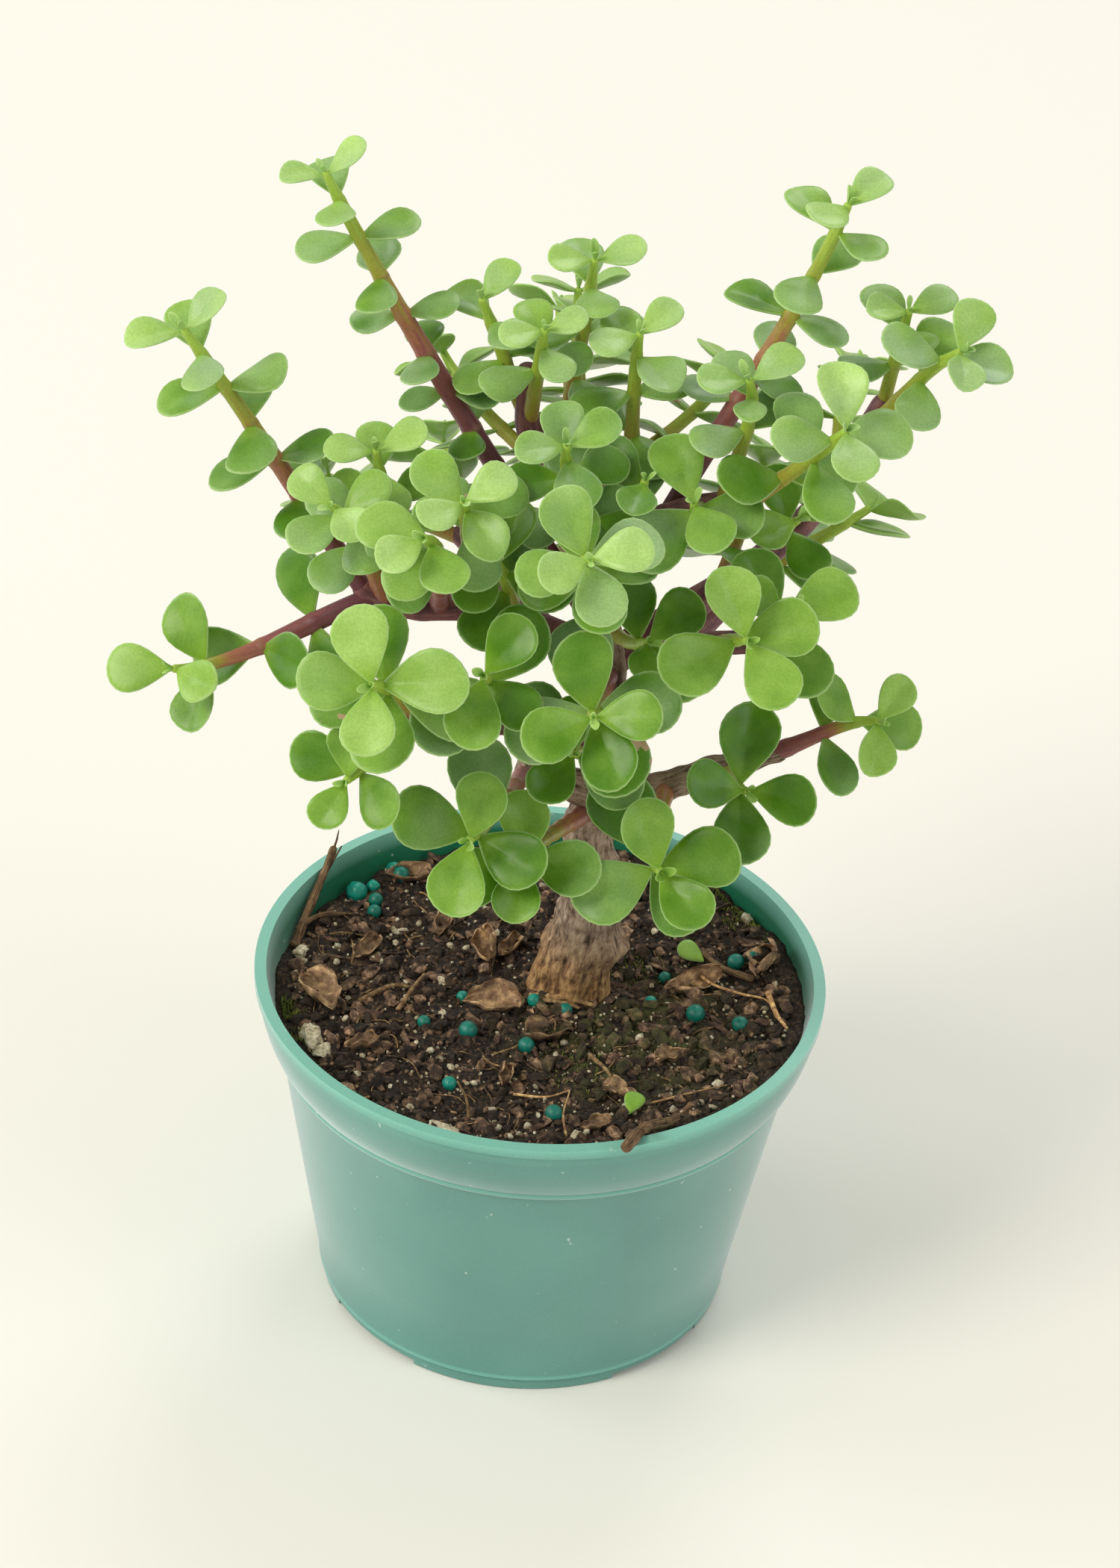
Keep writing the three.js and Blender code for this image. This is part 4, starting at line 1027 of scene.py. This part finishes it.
def model_chips(sizes):
    """Flat chips of composted bark."""
    draw = Scatter(23)

    def chip(bm, lot, number):
        x, y = draw.spot()
        length = draw.between(2, 5.5)
        size = (length, length * draw.between(0.2, 0.6), draw.between(0.4, 0.9))
        block = bmesh.ops.create_cube(bm, size=1)["verts"]
        block = ease_edges(bm, list({e for v in block for e in v.link_edges}), 0.2, 1)
        tone = draw.random.random()
        for v in block:
            shape(v, size, 1 + 0.3 * noise.noise(v.co * 2 + Vector((number, 0, 0))))
            v[lot] = tone
        bmesh.ops.transform(bm, matrix=on_soil(x, y, 0.5) @ draw.turn(0.5), verts=block)

    stops = ((0.35, "261913"), (0.52, "49362A"), (0.68, "836952"))
    chips = grainy("Composted bark chips", stops, 2.2, 0.9, 0.7, tones=(0.45, 2.1))
    lay("bark_chips", in_batches(sizes.chips, chip), chips, 30)


def model_perlite(sizes):
    """Perlite: white glass foam grains, and larger lime-white chunks."""
    draw = Scatter(31)

    def grain(bm, lot, number):
        x, y = draw.spot()
        size = draw.between(0.2, 0.55) if number % 9 else draw.between(0.6, 1.2)
        place = on_soil(x, y, 0.45 * size) @ draw.turn()
        lump(bm, lot, place, (size, size * 0.85, size * 0.75), draw.between(0.0, 0.75), 1, 0.5, number)

    bm = in_batches(sizes.grains, grain)
    lot = bm.verts.layers.float["lot"]
    for x, y, size in PERLITE:
        x, y = off_wall(x, y, 1.1 * size[1])
        lump(bm, lot, on_soil(x, y, 0.5 * size[2]) @ draw.turn(0.2), size, 0.5, 3, 0.6, x)
    stops = ((0.35, "94866A"), (0.5, "C0B498"), (0.65, "E4DEC8"))
    lay("perlite_grains", bm, grainy("Expanded perlite", stops, 0.9, 0.85, 0.8, 0.1), 60)


def model_prills():
    """Round beads of resin-coated fertiliser, sunk a little in the soil."""
    bm = bmesh.new()
    lot, = float_layers(bm, "lot")
    for x, y, diameter, burst in PRILLS:
        x, y = off_wall(x, y, 0.56 * diameter)
        ball = bmesh.ops.create_uvsphere(bm, u_segments=20, v_segments=14, radius=diameter / 2)["verts"]
        for v in ball:
            v.co *= 1 + (0.12 if burst else 0.02) * noise.noise(v.co * 0.8 + Vector((x, y, 0)))
            v[lot] = 0.85 if burst else 0.35
        bmesh.ops.transform(bm, matrix=on_soil(x, y, 0.28 * diameter), verts=ball)
    stops = ((0.3, "065A4E"), (0.5, "0A7A6A"), (0.7, "148A78"))
    lay("fertiliser_beads", bm, grainy("Fertiliser bead, resin coated", stops, 1.8, 0.4, 0.3, 0.1))


def model_fibres(sizes):
    """Loose root fibres and straws, each a thin bent thread."""
    draw = Scatter(47)

    def straw(bm, lot, points, thick, tone):
        path = through([(x, y, ground(x, y) + z) for x, y, z in points])
        sweep(bm, path, lambda along: thick * (1 - 0.5 * along / path.length), 6, 1.2,
              lambda along: {lot: tone})

    def fibre(bm, lot, number):
        if number < len(STRAWS):
            return straw(bm, lot, *STRAWS[number])
        x, y = draw.spot(0.93)
        length = draw.between(3, 11)
        turn, bend = draw.between(0, 2 * math.pi), draw.between(-0.8, 0.8)
        points = []
        for step in range(5):
            share = step / 4 - 0.5
            px = x + length * share * math.cos(turn + bend * share)
            py = y + length * share * math.sin(turn + bend * share)
            px, py = off_wall(px, py, 1.2)
            points.append((px, py, ground(px, py) + 0.25 + draw.between(0, 0.9)))
        thick = draw.between(0.09, 0.24)
        tone = 0.35 * draw.random.random()
        sweep(bm, through(points), lambda along: thick, 5, length / 8, lambda along: {lot: tone})

    stops = ((0.35, "5A3F2A"), (0.5, "80633F"), (0.68, "B59A6C"))
    dry = grainy("Dry root fibres and straw", stops, 1.5, 0.8, 0.4, tones=(0.5, 3.2))
    lay("root_fibres", in_batches(sizes.fibres + len(STRAWS), fibre, 12), dry)


def model_dead_leaves():
    """Fallen leaves, dried brown and curled, with a wrinkled sheet's thin pale edge."""
    bm = bmesh.new()
    lot, = float_layers(bm, "lot")
    for x, y, length, width, turn, tilt, roll, tone in DEAD_LEAVES:
        sheet = bmesh.ops.create_grid(bm, x_segments=14, y_segments=10, size=1)["verts"]
        faces = list({f for v in sheet for f in v.link_faces})
        for v in sheet:
            u, s = (v.co.x + 1) / 2, v.co.y
            outline = math.sqrt(max(0.0, 4 * u * (1 - u))) * (0.7 + 0.3 * u)
            ragged = 1 + 0.3 * noise.noise(Vector((u * 3, s * 2.5, x)))
            half = outline * ragged * width / 2
            curl = roll * (1 + 0.5 * noise.noise(Vector((u * 2.5, x, y))))
            wide = half * math.sin(s * curl) / curl
            wrinkle = 1.5 * noise.noise(Vector((u * 3.5 + x, s * 2.5, y)))
            rolled = half * (1 - math.cos(s * curl)) / curl + 0.3 * curl * length * (u - 0.5) ** 2
            v.co = ((u - 0.5) * length * ragged, wide, rolled + wrinkle)
            v[lot] = tone + 0.6 * smoothstep(0.75, 1, max(abs(s), abs(2 * u - 1)))
        solid = bmesh.ops.solidify(bm, geom=faces, thickness=0.22)["geom"]
        sheet = list({g for g in solid if isinstance(g, bmesh.types.BMVert)} | set(sheet))
        spin, lean = (Matrix.Rotation(math.radians(a), 4, axis) for a, axis in ((turn, "Z"), (tilt, "X")))
        bmesh.ops.transform(bm, matrix=on_soil(x, y, 1.1) @ spin @ lean, verts=sheet)
    bmesh.ops.remove_doubles(bm, verts=bm.verts, dist=0.02)
    bmesh.ops.recalc_face_normals(bm, faces=bm.faces)
    stops = ((0.35, "513C2B"), (0.52, "83684D"), (0.68, "BF9F76"))
    lay("dead_leaves", bm, grainy("Dead leaf, dried", stops, 2.5, 0.7, 0.6, tones=(0.45, 1.8)))


def model_twigs():
    """A dry twig that leans on the wall, a short one at the front, and a bit of old stem by the trunk."""
    bm = bmesh.new()
    node, age = float_layers(bm, "node", "age")
    for points, foot, end in TWIGS:
        path = through(points)

        def radius(along, path=path, foot=foot, end=end):
            share = along / path.length
            return (foot + (end - foot) * share) * (1 + 0.25 * noise.noise(Vector((along * 0.6, foot, 0))))

        sweep(bm, path, radius, 9, 0.8, lambda along: {node: 0.0, age: 0.35})
    for v in bm.verts:
        v.co += Vector((1, 1, 1)) * 0.12 * noise.noise(v.co * 1.5)
    lay("twigs", bm, bark("Dead twig, dry", "77634E", "483A2D", "241A14", 1.2, 0.9, 0.8), levels=1)


def model_moss(sizes):
    """Tufts of moss by the wall and thin green film, as short blades."""
    draw = Scatter(59)
    spots = [patch[:3] for patch in MOSS for _ in range(round(patch[3] * sizes.moss))]

    def blade(bm, lot, number):
        x, y, reach = spots[number]
        px, py = draw.random.gauss(x, reach), draw.random.gauss(y, reach)
        px, py = off_wall(px, py, 0.8)
        cone = bmesh.ops.create_cone(bm, cap_ends=True, segments=4, radius1=0.22, radius2=0.04,
                                     depth=draw.between(0.7, 1.6))["verts"]
        tone = draw.between(0.2, 1)
        for v in cone:
            v[lot] = tone
        bmesh.ops.transform(bm, matrix=on_soil(px, py, 0.4) @ draw.turn(0.5), verts=cone)

    stops = ((0.35, "3F4A1C"), (0.52, "66702E"), (0.68, "93974A"))
    lay("moss_tufts", in_batches(len(spots), blade), grainy("Moss", stops, 2, 0.9, 0.3))


def model_fallen_leaves(sizes, material):
    """Small leaves that dropped while they were green."""
    bm = bmesh.new()
    layers = leaf_layers(bm)
    for number, (x, y, turn, length) in enumerate(FALLEN):
        along = unit(np.array((math.cos(math.radians(turn)), math.sin(math.radians(turn)), 0.25)))
        face = unit(np.array((0.1, -0.3, 1)) - along * 0.2)
        face = unit(face - along * (face @ along))
        leaf = {"base": np.array((x, y, ground(x, y) + 1.4)), "along": along, "face": face,
                "across": np.cross(face, along), "length": length, "curl": 0.05, "pair": 1,
                "seed": FALLEN_SEED + number}
        model_leaf(bm, layers, leaf, leaf_traits(leaf, 0.15, sizes))
    lay("fallen_leaves", bm, material, levels=1)


# ---- woody limbs ----
def model_limb(name, parent, path, foot, end, materials):
    """A limb with nodes and flutes; old bark is cracked and flaky as well, most of all low on the trunk."""
    bm = bmesh.new()
    node, age = float_layers(bm, "node", "age")
    old, trunk, cut_off = name in OLD_LIMBS, not parent, name in CUT_LIMBS
    spacing = OLD_NODE_SPACING if old else YOUNG_NODE_SPACING
    rings = [FIRST_NODE + spacing * i for i in range(int((path.length - FIRST_NODE) / spacing) + 1)]

    def radius(along):
        collar = 0 if trunk else 0.35 * math.exp(-along / 5)
        cut = 0.12 * smoothstep(path.length - 3, path.length, along) if cut_off else 0
        straight = rod_radius(foot, end, TRUNK_FLARE if trunk else 1, along / path.length)
        return straight * (1 + 0.07 * swelling(along, rings, 1.4, 1.4) + collar + cut)

    def marks(along):
        earth = 0.9 * (1 - smoothstep(14, 34, along)) if trunk else 0.0
        return {node: swelling(along, rings, 0.5, 0.5), age: earth}

    sweep(bm, path, radius, 40 if trunk else 20, 1.1 if old else 1.3, marks, round_tip=not cut_off)
    bm.normal_update()
    skin = bm.verts.layers.float_vector["skin"]
    for v in bm.verts:
        x, y, along = v[skin]
        fluted = noise.noise(Vector((x * 2.2, y * 2.2, along * 0.05)))
        cracks = abs(noise.noise(Vector((x * 7, y * 7, along * 0.13)))) if old else 0
        knotty = noise.fractal(v.co / 6, 0.8, 2, 3)
        flaky = max(0, noise.noise(v.co / 1.9)) if old else 0
        low = 1 - smoothstep(12, 40, along) if trunk else 0
        push = (0.75 if trunk else 0.16) * fluted + (0.6 if old else 0.12) * knotty
        push += (0.35 + 0.8 * low) * flaky + 0.3 - 1.5 * cracks
        if trunk:
            push += KNOB_HEIGHT * math.exp(-((v.co - KNOB).length / KNOB_SPREAD) ** 2) * (1 + 0.6 * knotty)
        v.co += v.normal * push
    smooth_faces(bm)
    slot = "old_bark" if old else "young_bark"
    finish(name + "_wood", bm, materials[slot], name, levels=1)


# ---- shoots ----
def model_stem(name, path, spacing, material):
    """A shoot's stem, thinner to the tip, with a swollen ring at every node down to its foot."""
    bm = bmesh.new()
    node, age = float_layers(bm, "node", "age")
    nodes = [path.length - spacing * (i - FIRST_PAIR_SHIFT) for i in range(1, 1 + int(path.length / spacing))]
    ripe = RIPE_STEMS.get(name, 0)

    def radius(along):
        tip = path.length - along
        growth = SHOOT_TIP_RADIUS + 0.5 * smoothstep(0, 9, tip)
        growth += (SHOOT_BASE_RADIUS - SHOOT_TIP_RADIUS) * smoothstep(8, 55 * (1 - ripe), tip)
        return growth * (1 + 0.13 * swelling(along, nodes, 1.3, 1.1))

    def marks(along):
        tip = path.length - along
        return {node: swelling(along, nodes, 0.45, 0.35) * smoothstep(8, 20, tip),
                age: tip / 64 + ripe * smoothstep(4, 14, tip)}

    sweep(bm, path, radius, 10, 0.9, marks)
    smooth_faces(bm)
    finish("stem_" + name, bm, material, "shoot_" + name, levels=1)


def outline_half_width(u, wedge):
    """Half the width of a leaf's outline: an oval, fuller to the tip and drawn in to a wedge at its foot."""
    return float(half_width(u)) * (1 - wedge * (1 - u) ** 3.2)


def leaf_layers(bm):
    return dict(zip(LEAF_LAYERS, float_layers(bm, *LEAF_LAYERS)))


def model_leaf(bm, layers, leaf, traits):
    """A leaf: a ball pressed flat and drawn out to the leaf's outline, then folded, cupped and curled."""
    ball = bmesh.ops.create_uvsphere(bm, u_segments=LEAF_SIDES, v_segments=LEAF_RINGS, radius=LEAF_BALL)
    base, along, across, face = (Vector(leaf[key]) for key in ("base", "along", "across", "face"))
    length = leaf["length"]
    for v in ball["verts"]:
        x, y, z = v.co
        ring = min(LEAF_BALL, math.hypot(x, y))
        tip = x / ring if ring > 1e-6 else 0
        edge_u = (1 + tip) / 2
        u = LEAF_MIDDLE + ring * (edge_u - LEAF_MIDDLE) + traits["point"] * 0.05 * ring * max(0, tip) ** 12
        wide = outline_half_width(edge_u, traits["wedge"]) * ring * (1 if y >= 0 else -1)
        wide = 0 if abs(y) < 1e-6 else wide
        spread = abs(wide) / 0.4
        lift = leaf["curl"] * u * u + traits["fold"] * spread + traits["cup"] * spread * spread
        lift += traits["wave"] * math.sin(7 * u + traits["phase"]) * wide * 0.6
        lift -= traits["droop"] * max(0, u - 0.5) ** 2
        side = wide * traits["width"] + traits["skew"] * u * u
        thick = traits["thick"] * (0.75 + 0.25 * (1 - u)) * math.copysign(abs(z) ** 0.72, z)
        v.co = base + along * (u * length) + across * (side * length) + face * (lift * length + thick)
        values = {"rim": ring, "along": u, "under": 1.0 if z < -0.05 else 0.5 if z < 0.05 else 0.0,
                  "age": traits["age"] + 0.1 * (1 - u), "bloom_and_sheen": traits["bloom_and_sheen"], "scar": traits["scar"]}
        for key, value in values.items():
            v[layers[key]] = value


def leaf_traits(leaf, shoot_age, sizes):
    """How one leaf differs from the next: age, fold, cup, wave, width at its foot, and wear."""
    draw = random.Random(LEAF_SEED + leaf["seed"])
    pair = leaf["pair"]
    age = shoot_age + (1 - shoot_age) * 0.78 * (1 - math.exp(-0.45 * pair)) + draw.uniform(-0.09, 0.09)
    older = min(1, pair / 3)
    height = leaf["base"][2]
    age += 0.05 * (1 - smoothstep(85, 135, height))
    # Painted sheen: leaves high in the crown get more of the pale bloom colour.
    high_sheen = 0.36 * smoothstep(128, 168, height)
    return {
        "age": min(1, max(0, age)),
        # Pale bloom colour: part waxy bloom, part painted sheen, at random on older leaves and more on high ones.
        "bloom_and_sheen": 0.03 + high_sheen + draw.random() ** 3 * older,
        "scar": 1.0 if pair > 1 and draw.random() < 0.1 else 0.0,
        "fold": draw.uniform(0.03, 0.19) - 0.15 * older * draw.random(),
        "cup": draw.uniform(-0.04, 0.12) - 0.18 * older * draw.random(),
        "wave": draw.uniform(-0.2, 0.2),
        "phase": draw.uniform(0, 6),
        "droop": draw.uniform(-0.15, 0.3),
        "skew": draw.uniform(-0.09, 0.09),
        "wedge": draw.uniform(0.75, 0.95) - 0.35 * older * draw.random(),
        "point": draw.uniform(0, 1) if pair else 0.2,
        "width": leaf.get("width", 1),
        "thick": leaf.get("width", 1) ** 1.4 * sizes.leaf_thickness / MM / 2 * draw.uniform(0.85, 1.15),
    }


def tip_bud(leaves, path, index):
    """The next pair of leaves, small and upright between the end pair."""
    end = next((leaf for leaf in leaves if leaf["pair"] == 0), None)
    if not end:
        return []
    tangent, rise = path.tangent(1.0), math.radians(BUD_RISE)
    made = []
    for half in (0, 1):
        side = turned(unit(end["along"] - tangent * (end["along"] @ tangent)), tangent, 90 + 180 * half)
        out = unit(side * math.cos(rise) + tangent * math.sin(rise))
        face = unit(np.cross(out, np.cross(tangent, out)))
        length = end["length"] * (0.34 + 0.24 * jitter(5 * index + half))
        made.append({"base": path.at(1.0)[0], "along": out, "face": face, "across": np.cross(face, out),
                     "length": length, "curl": 0.0, "pair": 0, "width": 0.5, "oldest": 0.1,
                     "seed": BUD_SEED + 2 * index + half})
    return made


def model_shoot_leaves(name, leaves, shoot_age, sizes, material):
    bm = bmesh.new()
    layers = leaf_layers(bm)
    for leaf in leaves:
        model_leaf(bm, layers, leaf, leaf_traits(leaf, min(shoot_age, leaf.get("oldest", 1)), sizes))
    smooth_faces(bm)
    finish("leaves_" + name, bm, material, "shoot_" + name, levels=1)


# ---- stage ----
def area_lamp(name, place, size, power, colour):
    lamp = bpy.data.lights.new(name, "AREA")
    lamp.shape = "DISK"
    lamp.size = size
    lamp.energy = power
    lamp.color = linear(colour)
    holder = linked(name, lamp)
    holder.location = place
    holder.rotation_euler = (Vector(LAMP_AIM) - Vector(place)).to_track_quat("-Z", "Y").to_euler()


def build_stage(stage):
    """Floor, sky light, lamps and camera."""
    scene = bpy.context.scene
    scene.view_settings.view_transform = "Standard"
    bm = bmesh.new()
    bmesh.ops.create_grid(bm, x_segments=2, y_segments=2, size=FLOOR_REACH)
    floor = as_object("floor", bm, 1)
    floor.location.z = -FLOOR_DROP
    paper, _, shader = new_material("Paper, matt")
    fill(shader, {"Base Color": stage.floor_colour, "Roughness": 1.0, "Specular IOR Level": 0.0})
    floor.data.materials.append(paper)
    world = bpy.data.worlds.new("Studio")
    scene.world = world
    world.use_nodes = True
    fill(world.node_tree.nodes["Background"], {"Color": stage.sky_colour, "Strength": stage.sky_strength})
    area_lamp("Key lamp", (-2.5, -1.9, 2.9), 1.8, stage.key_power, "FFF9EE")
    area_lamp("Fill lamp", (2.8, -1.6, 2.0), 2.0, stage.fill_power, "F4F8FF")
    area_lamp("Back lamp", (0.8, 2.6, 3.0), 1.6, stage.back_power, "FFFFFF")
    area_lamp("Side lamp", (-5.0, 0.8, 1.9), 3.0, stage.side_power, "F6FAFF")
    lens = bpy.data.cameras.new("Camera")
    lens.lens = stage.focal_length
    lens.sensor_width = 36
    lens.clip_start = 0.05
    lens.clip_end = 40
    camera = linked("Camera", lens)
    tilt, roll = stage.tilt, stage.roll
    forward = Vector((0, math.cos(tilt), -math.sin(tilt)))
    level = Vector((1, 0, 0))
    right = level * math.cos(roll) + level.cross(forward) * math.sin(roll)
    turn = Matrix((right, right.cross(forward), -forward)).transposed()
    camera.matrix_world = Matrix.Translation(stage.place) @ turn.to_4x4()
    scene.camera = camera


# ---- add-on ----
def colour_setting(name, description, code):
    return bpy.props.FloatVectorProperty(name=name, description=description, default=linear(code),
                                         subtype="COLOR", size=3, min=0, max=1)


def count_setting(name, description, default, least=0):
    return bpy.props.IntProperty(name=name, description=description, default=default, min=least)


def number_setting(name, description, default, **limits):
    return bpy.props.FloatProperty(name=name, description=description, default=default, **limits)


def length_setting(name, description, millimetres):
    return number_setting(name, description, millimetres * MM, subtype="DISTANCE", unit="LENGTH", min=0)


def power_setting(name, description, watts):
    return number_setting(name, description, watts, unit="POWER", min=0)


def angle_setting(name, description, degrees):
    return number_setting(name, description, math.radians(degrees), subtype="ANGLE", unit="ROTATION")


class JadeColours(bpy.types.PropertyGroup):
    """Colours of the leaves, stems, bark and pot."""

    leaf_young: colour_setting("Young leaf", "Leaves at the tips of the shoots", "B2D578")
    leaf_middle: colour_setting("Leaf", "Leaves half way down a shoot", "8AB446")
    leaf_deep: colour_setting("Old leaf", "Leaves low on the plant and inside it", "4F8206")
    # Pale grey-green of waxy bloom and of painted sheen.
    leaf_bloom_sheen: colour_setting("Leaf bloom and sheen", "Leaves with a waxy bloom and painted sheen", "9ABA84")
    stem_young: colour_setting("Young stem", "Stems near their tips", "95AA38")
    stem_ripe: colour_setting("Ripe stem", "Stems further down", "945550")
    pot_outside: colour_setting("Pot outside", "Outside of the pot", "588F86")
    # Painted shade: the inner wall is drawn in this darker colour.
    pot_inside_shade: colour_setting("Pot inside", "Inside of the pot's wall, painted shade", "10704F")
    # Painted highlight: the lip's flat top, and partly its side and beads, are drawn in this paler colour.
    pot_rim_highlight: colour_setting("Pot rim", "Flat top of the pot's lip, painted highlight", "7CC0AF")


class PotSizes(bpy.types.PropertyGroup):
    """Sizes of the pot that the part leaves open."""

    sides: count_setting("Sides", "Flat strips round the pot", 144, 24)
    edge_round: length_setting("Edge round", "Rounding of the pot's edges", 0.35)
    notch_length: length_setting("Notch length", "Length of a notch in the foot ring", 26)


class SoilSizes(bpy.types.PropertyGroup):
    """How finely the soil is drawn and how much lies on it."""

    rings: count_setting("Rings", "Rings of the soil's surface", 64, 8)
    spokes: count_setting("Spokes", "Spokes of the soil's surface", 180, 24)
    crumbs: count_setting("Crumbs", "Peat crumbs on the soil", 4600)
    chips: count_setting("Bark chips", "Bark chips on the soil", 300)
    grains: count_setting("Perlite", "Small perlite grains on the soil", 1100)
    fibres: count_setting("Fibres", "Loose fibres on the soil", 90)
    moss: number_setting("Moss", "Share of the full moss", 1.0, min=0, max=2)


class LeafSizes(bpy.types.PropertyGroup):
    """Sizes of the leaves that the part leaves open."""

    leaf_thickness: length_setting("Leaf thickness", "Thickness of a leaf in its middle", 1.7)


class StageSettings(bpy.types.PropertyGroup):
    """Floor, light and camera."""

    floor_colour: colour_setting("Floor", "Colour of the floor", "EFEDE6")
    sky_colour: colour_setting("Sky", "Colour of the light from all round", "FFFDF4")
    sky_strength: number_setting("Sky strength", "Strength of the light from all round", 0.6, min=0)
    key_power: power_setting("Key lamp", "Lamp at the upper left", 84)
    fill_power: power_setting("Fill lamp", "Lamp at the right", 22)
    back_power: power_setting("Back lamp", "Lamp behind the plant", 30)
    side_power: power_setting("Side lamp", "Low lamp at the left", 76)
    focal_length: number_setting("Focal length", "Focal length of the camera in mm", 92.94, min=10)
    tilt: angle_setting("Tilt", "How far down the camera looks", 34.4)
    roll: angle_setting("Roll", "Turn of the camera about its view", 4)
    place: bpy.props.FloatVectorProperty(name="Place", description="Place of the camera",
                                         default=(0.0014, -0.7193, 0.6255), subtype="TRANSLATION",
                                         unit="LENGTH", size=3)


class JADE_OT_stage(bpy.types.Operator):
    """Build the floor, the light and the camera"""

    bl_idname = "jade.stage"
    bl_label = "Stage"

    def execute(self, context):
        build_stage(context.scene.jade_stage)
        return {"FINISHED"}


class JADE_OT_pot(bpy.types.Operator):
    """Model the nursery pot with its lip, collar, foot ring and drain slots"""

    bl_idname = "jade.pot"
    bl_label = "Pot"

    def execute(self, context):
        model_pot(context.scene.jade_pot, context.scene.jade_colours)
        return {"FINISHED"}


class JADE_OT_soil(bpy.types.Operator):
    """Model the soil with its clods"""

    bl_idname = "jade.soil"
    bl_label = "Soil"

    def execute(self, context):
        model_soil(context.scene.jade_soil)
        return {"FINISHED"}


class JADE_OT_litter(bpy.types.Operator):
    """Model the dry bits, beads, dead leaves, twigs and moss that lie on the soil"""

    bl_idname = "jade.litter"
    bl_label = "What lies on the soil"

    def execute(self, context):
        sizes = context.scene.jade_soil
        model_crumbs(sizes)
        model_chips(sizes)
        model_perlite(sizes)
        model_prills()
        model_fibres(sizes)
        model_dead_leaves()
        model_twigs()
        model_moss(sizes)
        return {"FINISHED"}


class JADE_OT_limbs(bpy.types.Operator):
    """Model the trunk, the branches and the stubs"""

    bl_idname = "jade.limbs"
    bl_label = "Trunk and branches"

    def execute(self, context):
        old = bark("Old succulent bark, dry and cracked", "AE9985", "86715E", "3E2E25", 1.0, 0.9, 1.0)
        young = bark("Young succulent bark, smooth", "8A5A58", "6A3B42", "472A30", 2.2, 0.55, 0.25)
        barks = {"old_bark": old, "young_bark": young}
        for name, parent, points, foot, end in LIMBS:
            model_limb(name, parent, through(points), foot, end, barks)
        return {"FINISHED"}


class JADE_OT_shoots(bpy.types.Operator):
    """Model the stems and leaves of the shoots, and the green leaves that fell off them"""

    bl_idname = "jade.shoots"
    bl_label = "Shoots"

    def execute(self, context):
        colours, sizes = context.scene.jade_colours, context.scene.jade_leaves
        shoots, leaves = grow()
        tissue, skin = leaf_tissue(colours), stem_skin(colours)
        model_fallen_leaves(sizes, tissue)
        for index, row in enumerate(SHOOTS):
            name, spacing, age = row[0], row[7], row[9]
            own = [leaf for leaf in leaves if leaf["shoot"] == name]
            model_stem(name, shoots[name], spacing, skin)
            model_shoot_leaves(name, own + tip_bud(own, shoots[name], index), age, sizes, tissue)
        return {"FINISHED"}


class JADE_PT_panel(bpy.types.Panel):
    """Sidebar panel of the potted jade plant"""

    bl_idname = "JADE_PT_panel"
    bl_label = "Potted jade plant"
    bl_space_type = "VIEW_3D"
    bl_region_type = "UI"
    bl_category = "Jade plant"

    def draw(self, context):
        for operator in OPERATORS:
            self.layout.operator(operator.bl_idname)
        for name in SETTINGS:
            group = getattr(context.scene, name)
            box = self.layout.box()
            for key in group.__annotations__:
                box.prop(group, key)


OPERATORS = (JADE_OT_stage, JADE_OT_pot, JADE_OT_soil, JADE_OT_litter, JADE_OT_limbs, JADE_OT_shoots)
SETTINGS = {
    "jade_colours": JadeColours,
    "jade_pot": PotSizes,
    "jade_soil": SoilSizes,
    "jade_leaves": LeafSizes,
    "jade_stage": StageSettings,
}


def register():
    for cls in (*SETTINGS.values(), *OPERATORS, JADE_PT_panel):
        bpy.utils.register_class(cls)
    for name, cls in SETTINGS.items():
        setattr(bpy.types.Scene, name, bpy.props.PointerProperty(type=cls))


def unregister():
    for name in SETTINGS:
        delattr(bpy.types.Scene, name)
    for cls in reversed((*SETTINGS.values(), *OPERATORS, JADE_PT_panel)):
        bpy.utils.unregister_class(cls)


def main():
    register()
    bpy.ops.jade.stage()
    bpy.ops.jade.pot()
    bpy.ops.jade.soil()
    bpy.ops.jade.litter()
    bpy.ops.jade.limbs()
    bpy.ops.jade.shoots()
    bpy.context.view_layer.update()


if __name__ == "__main__":
    main()
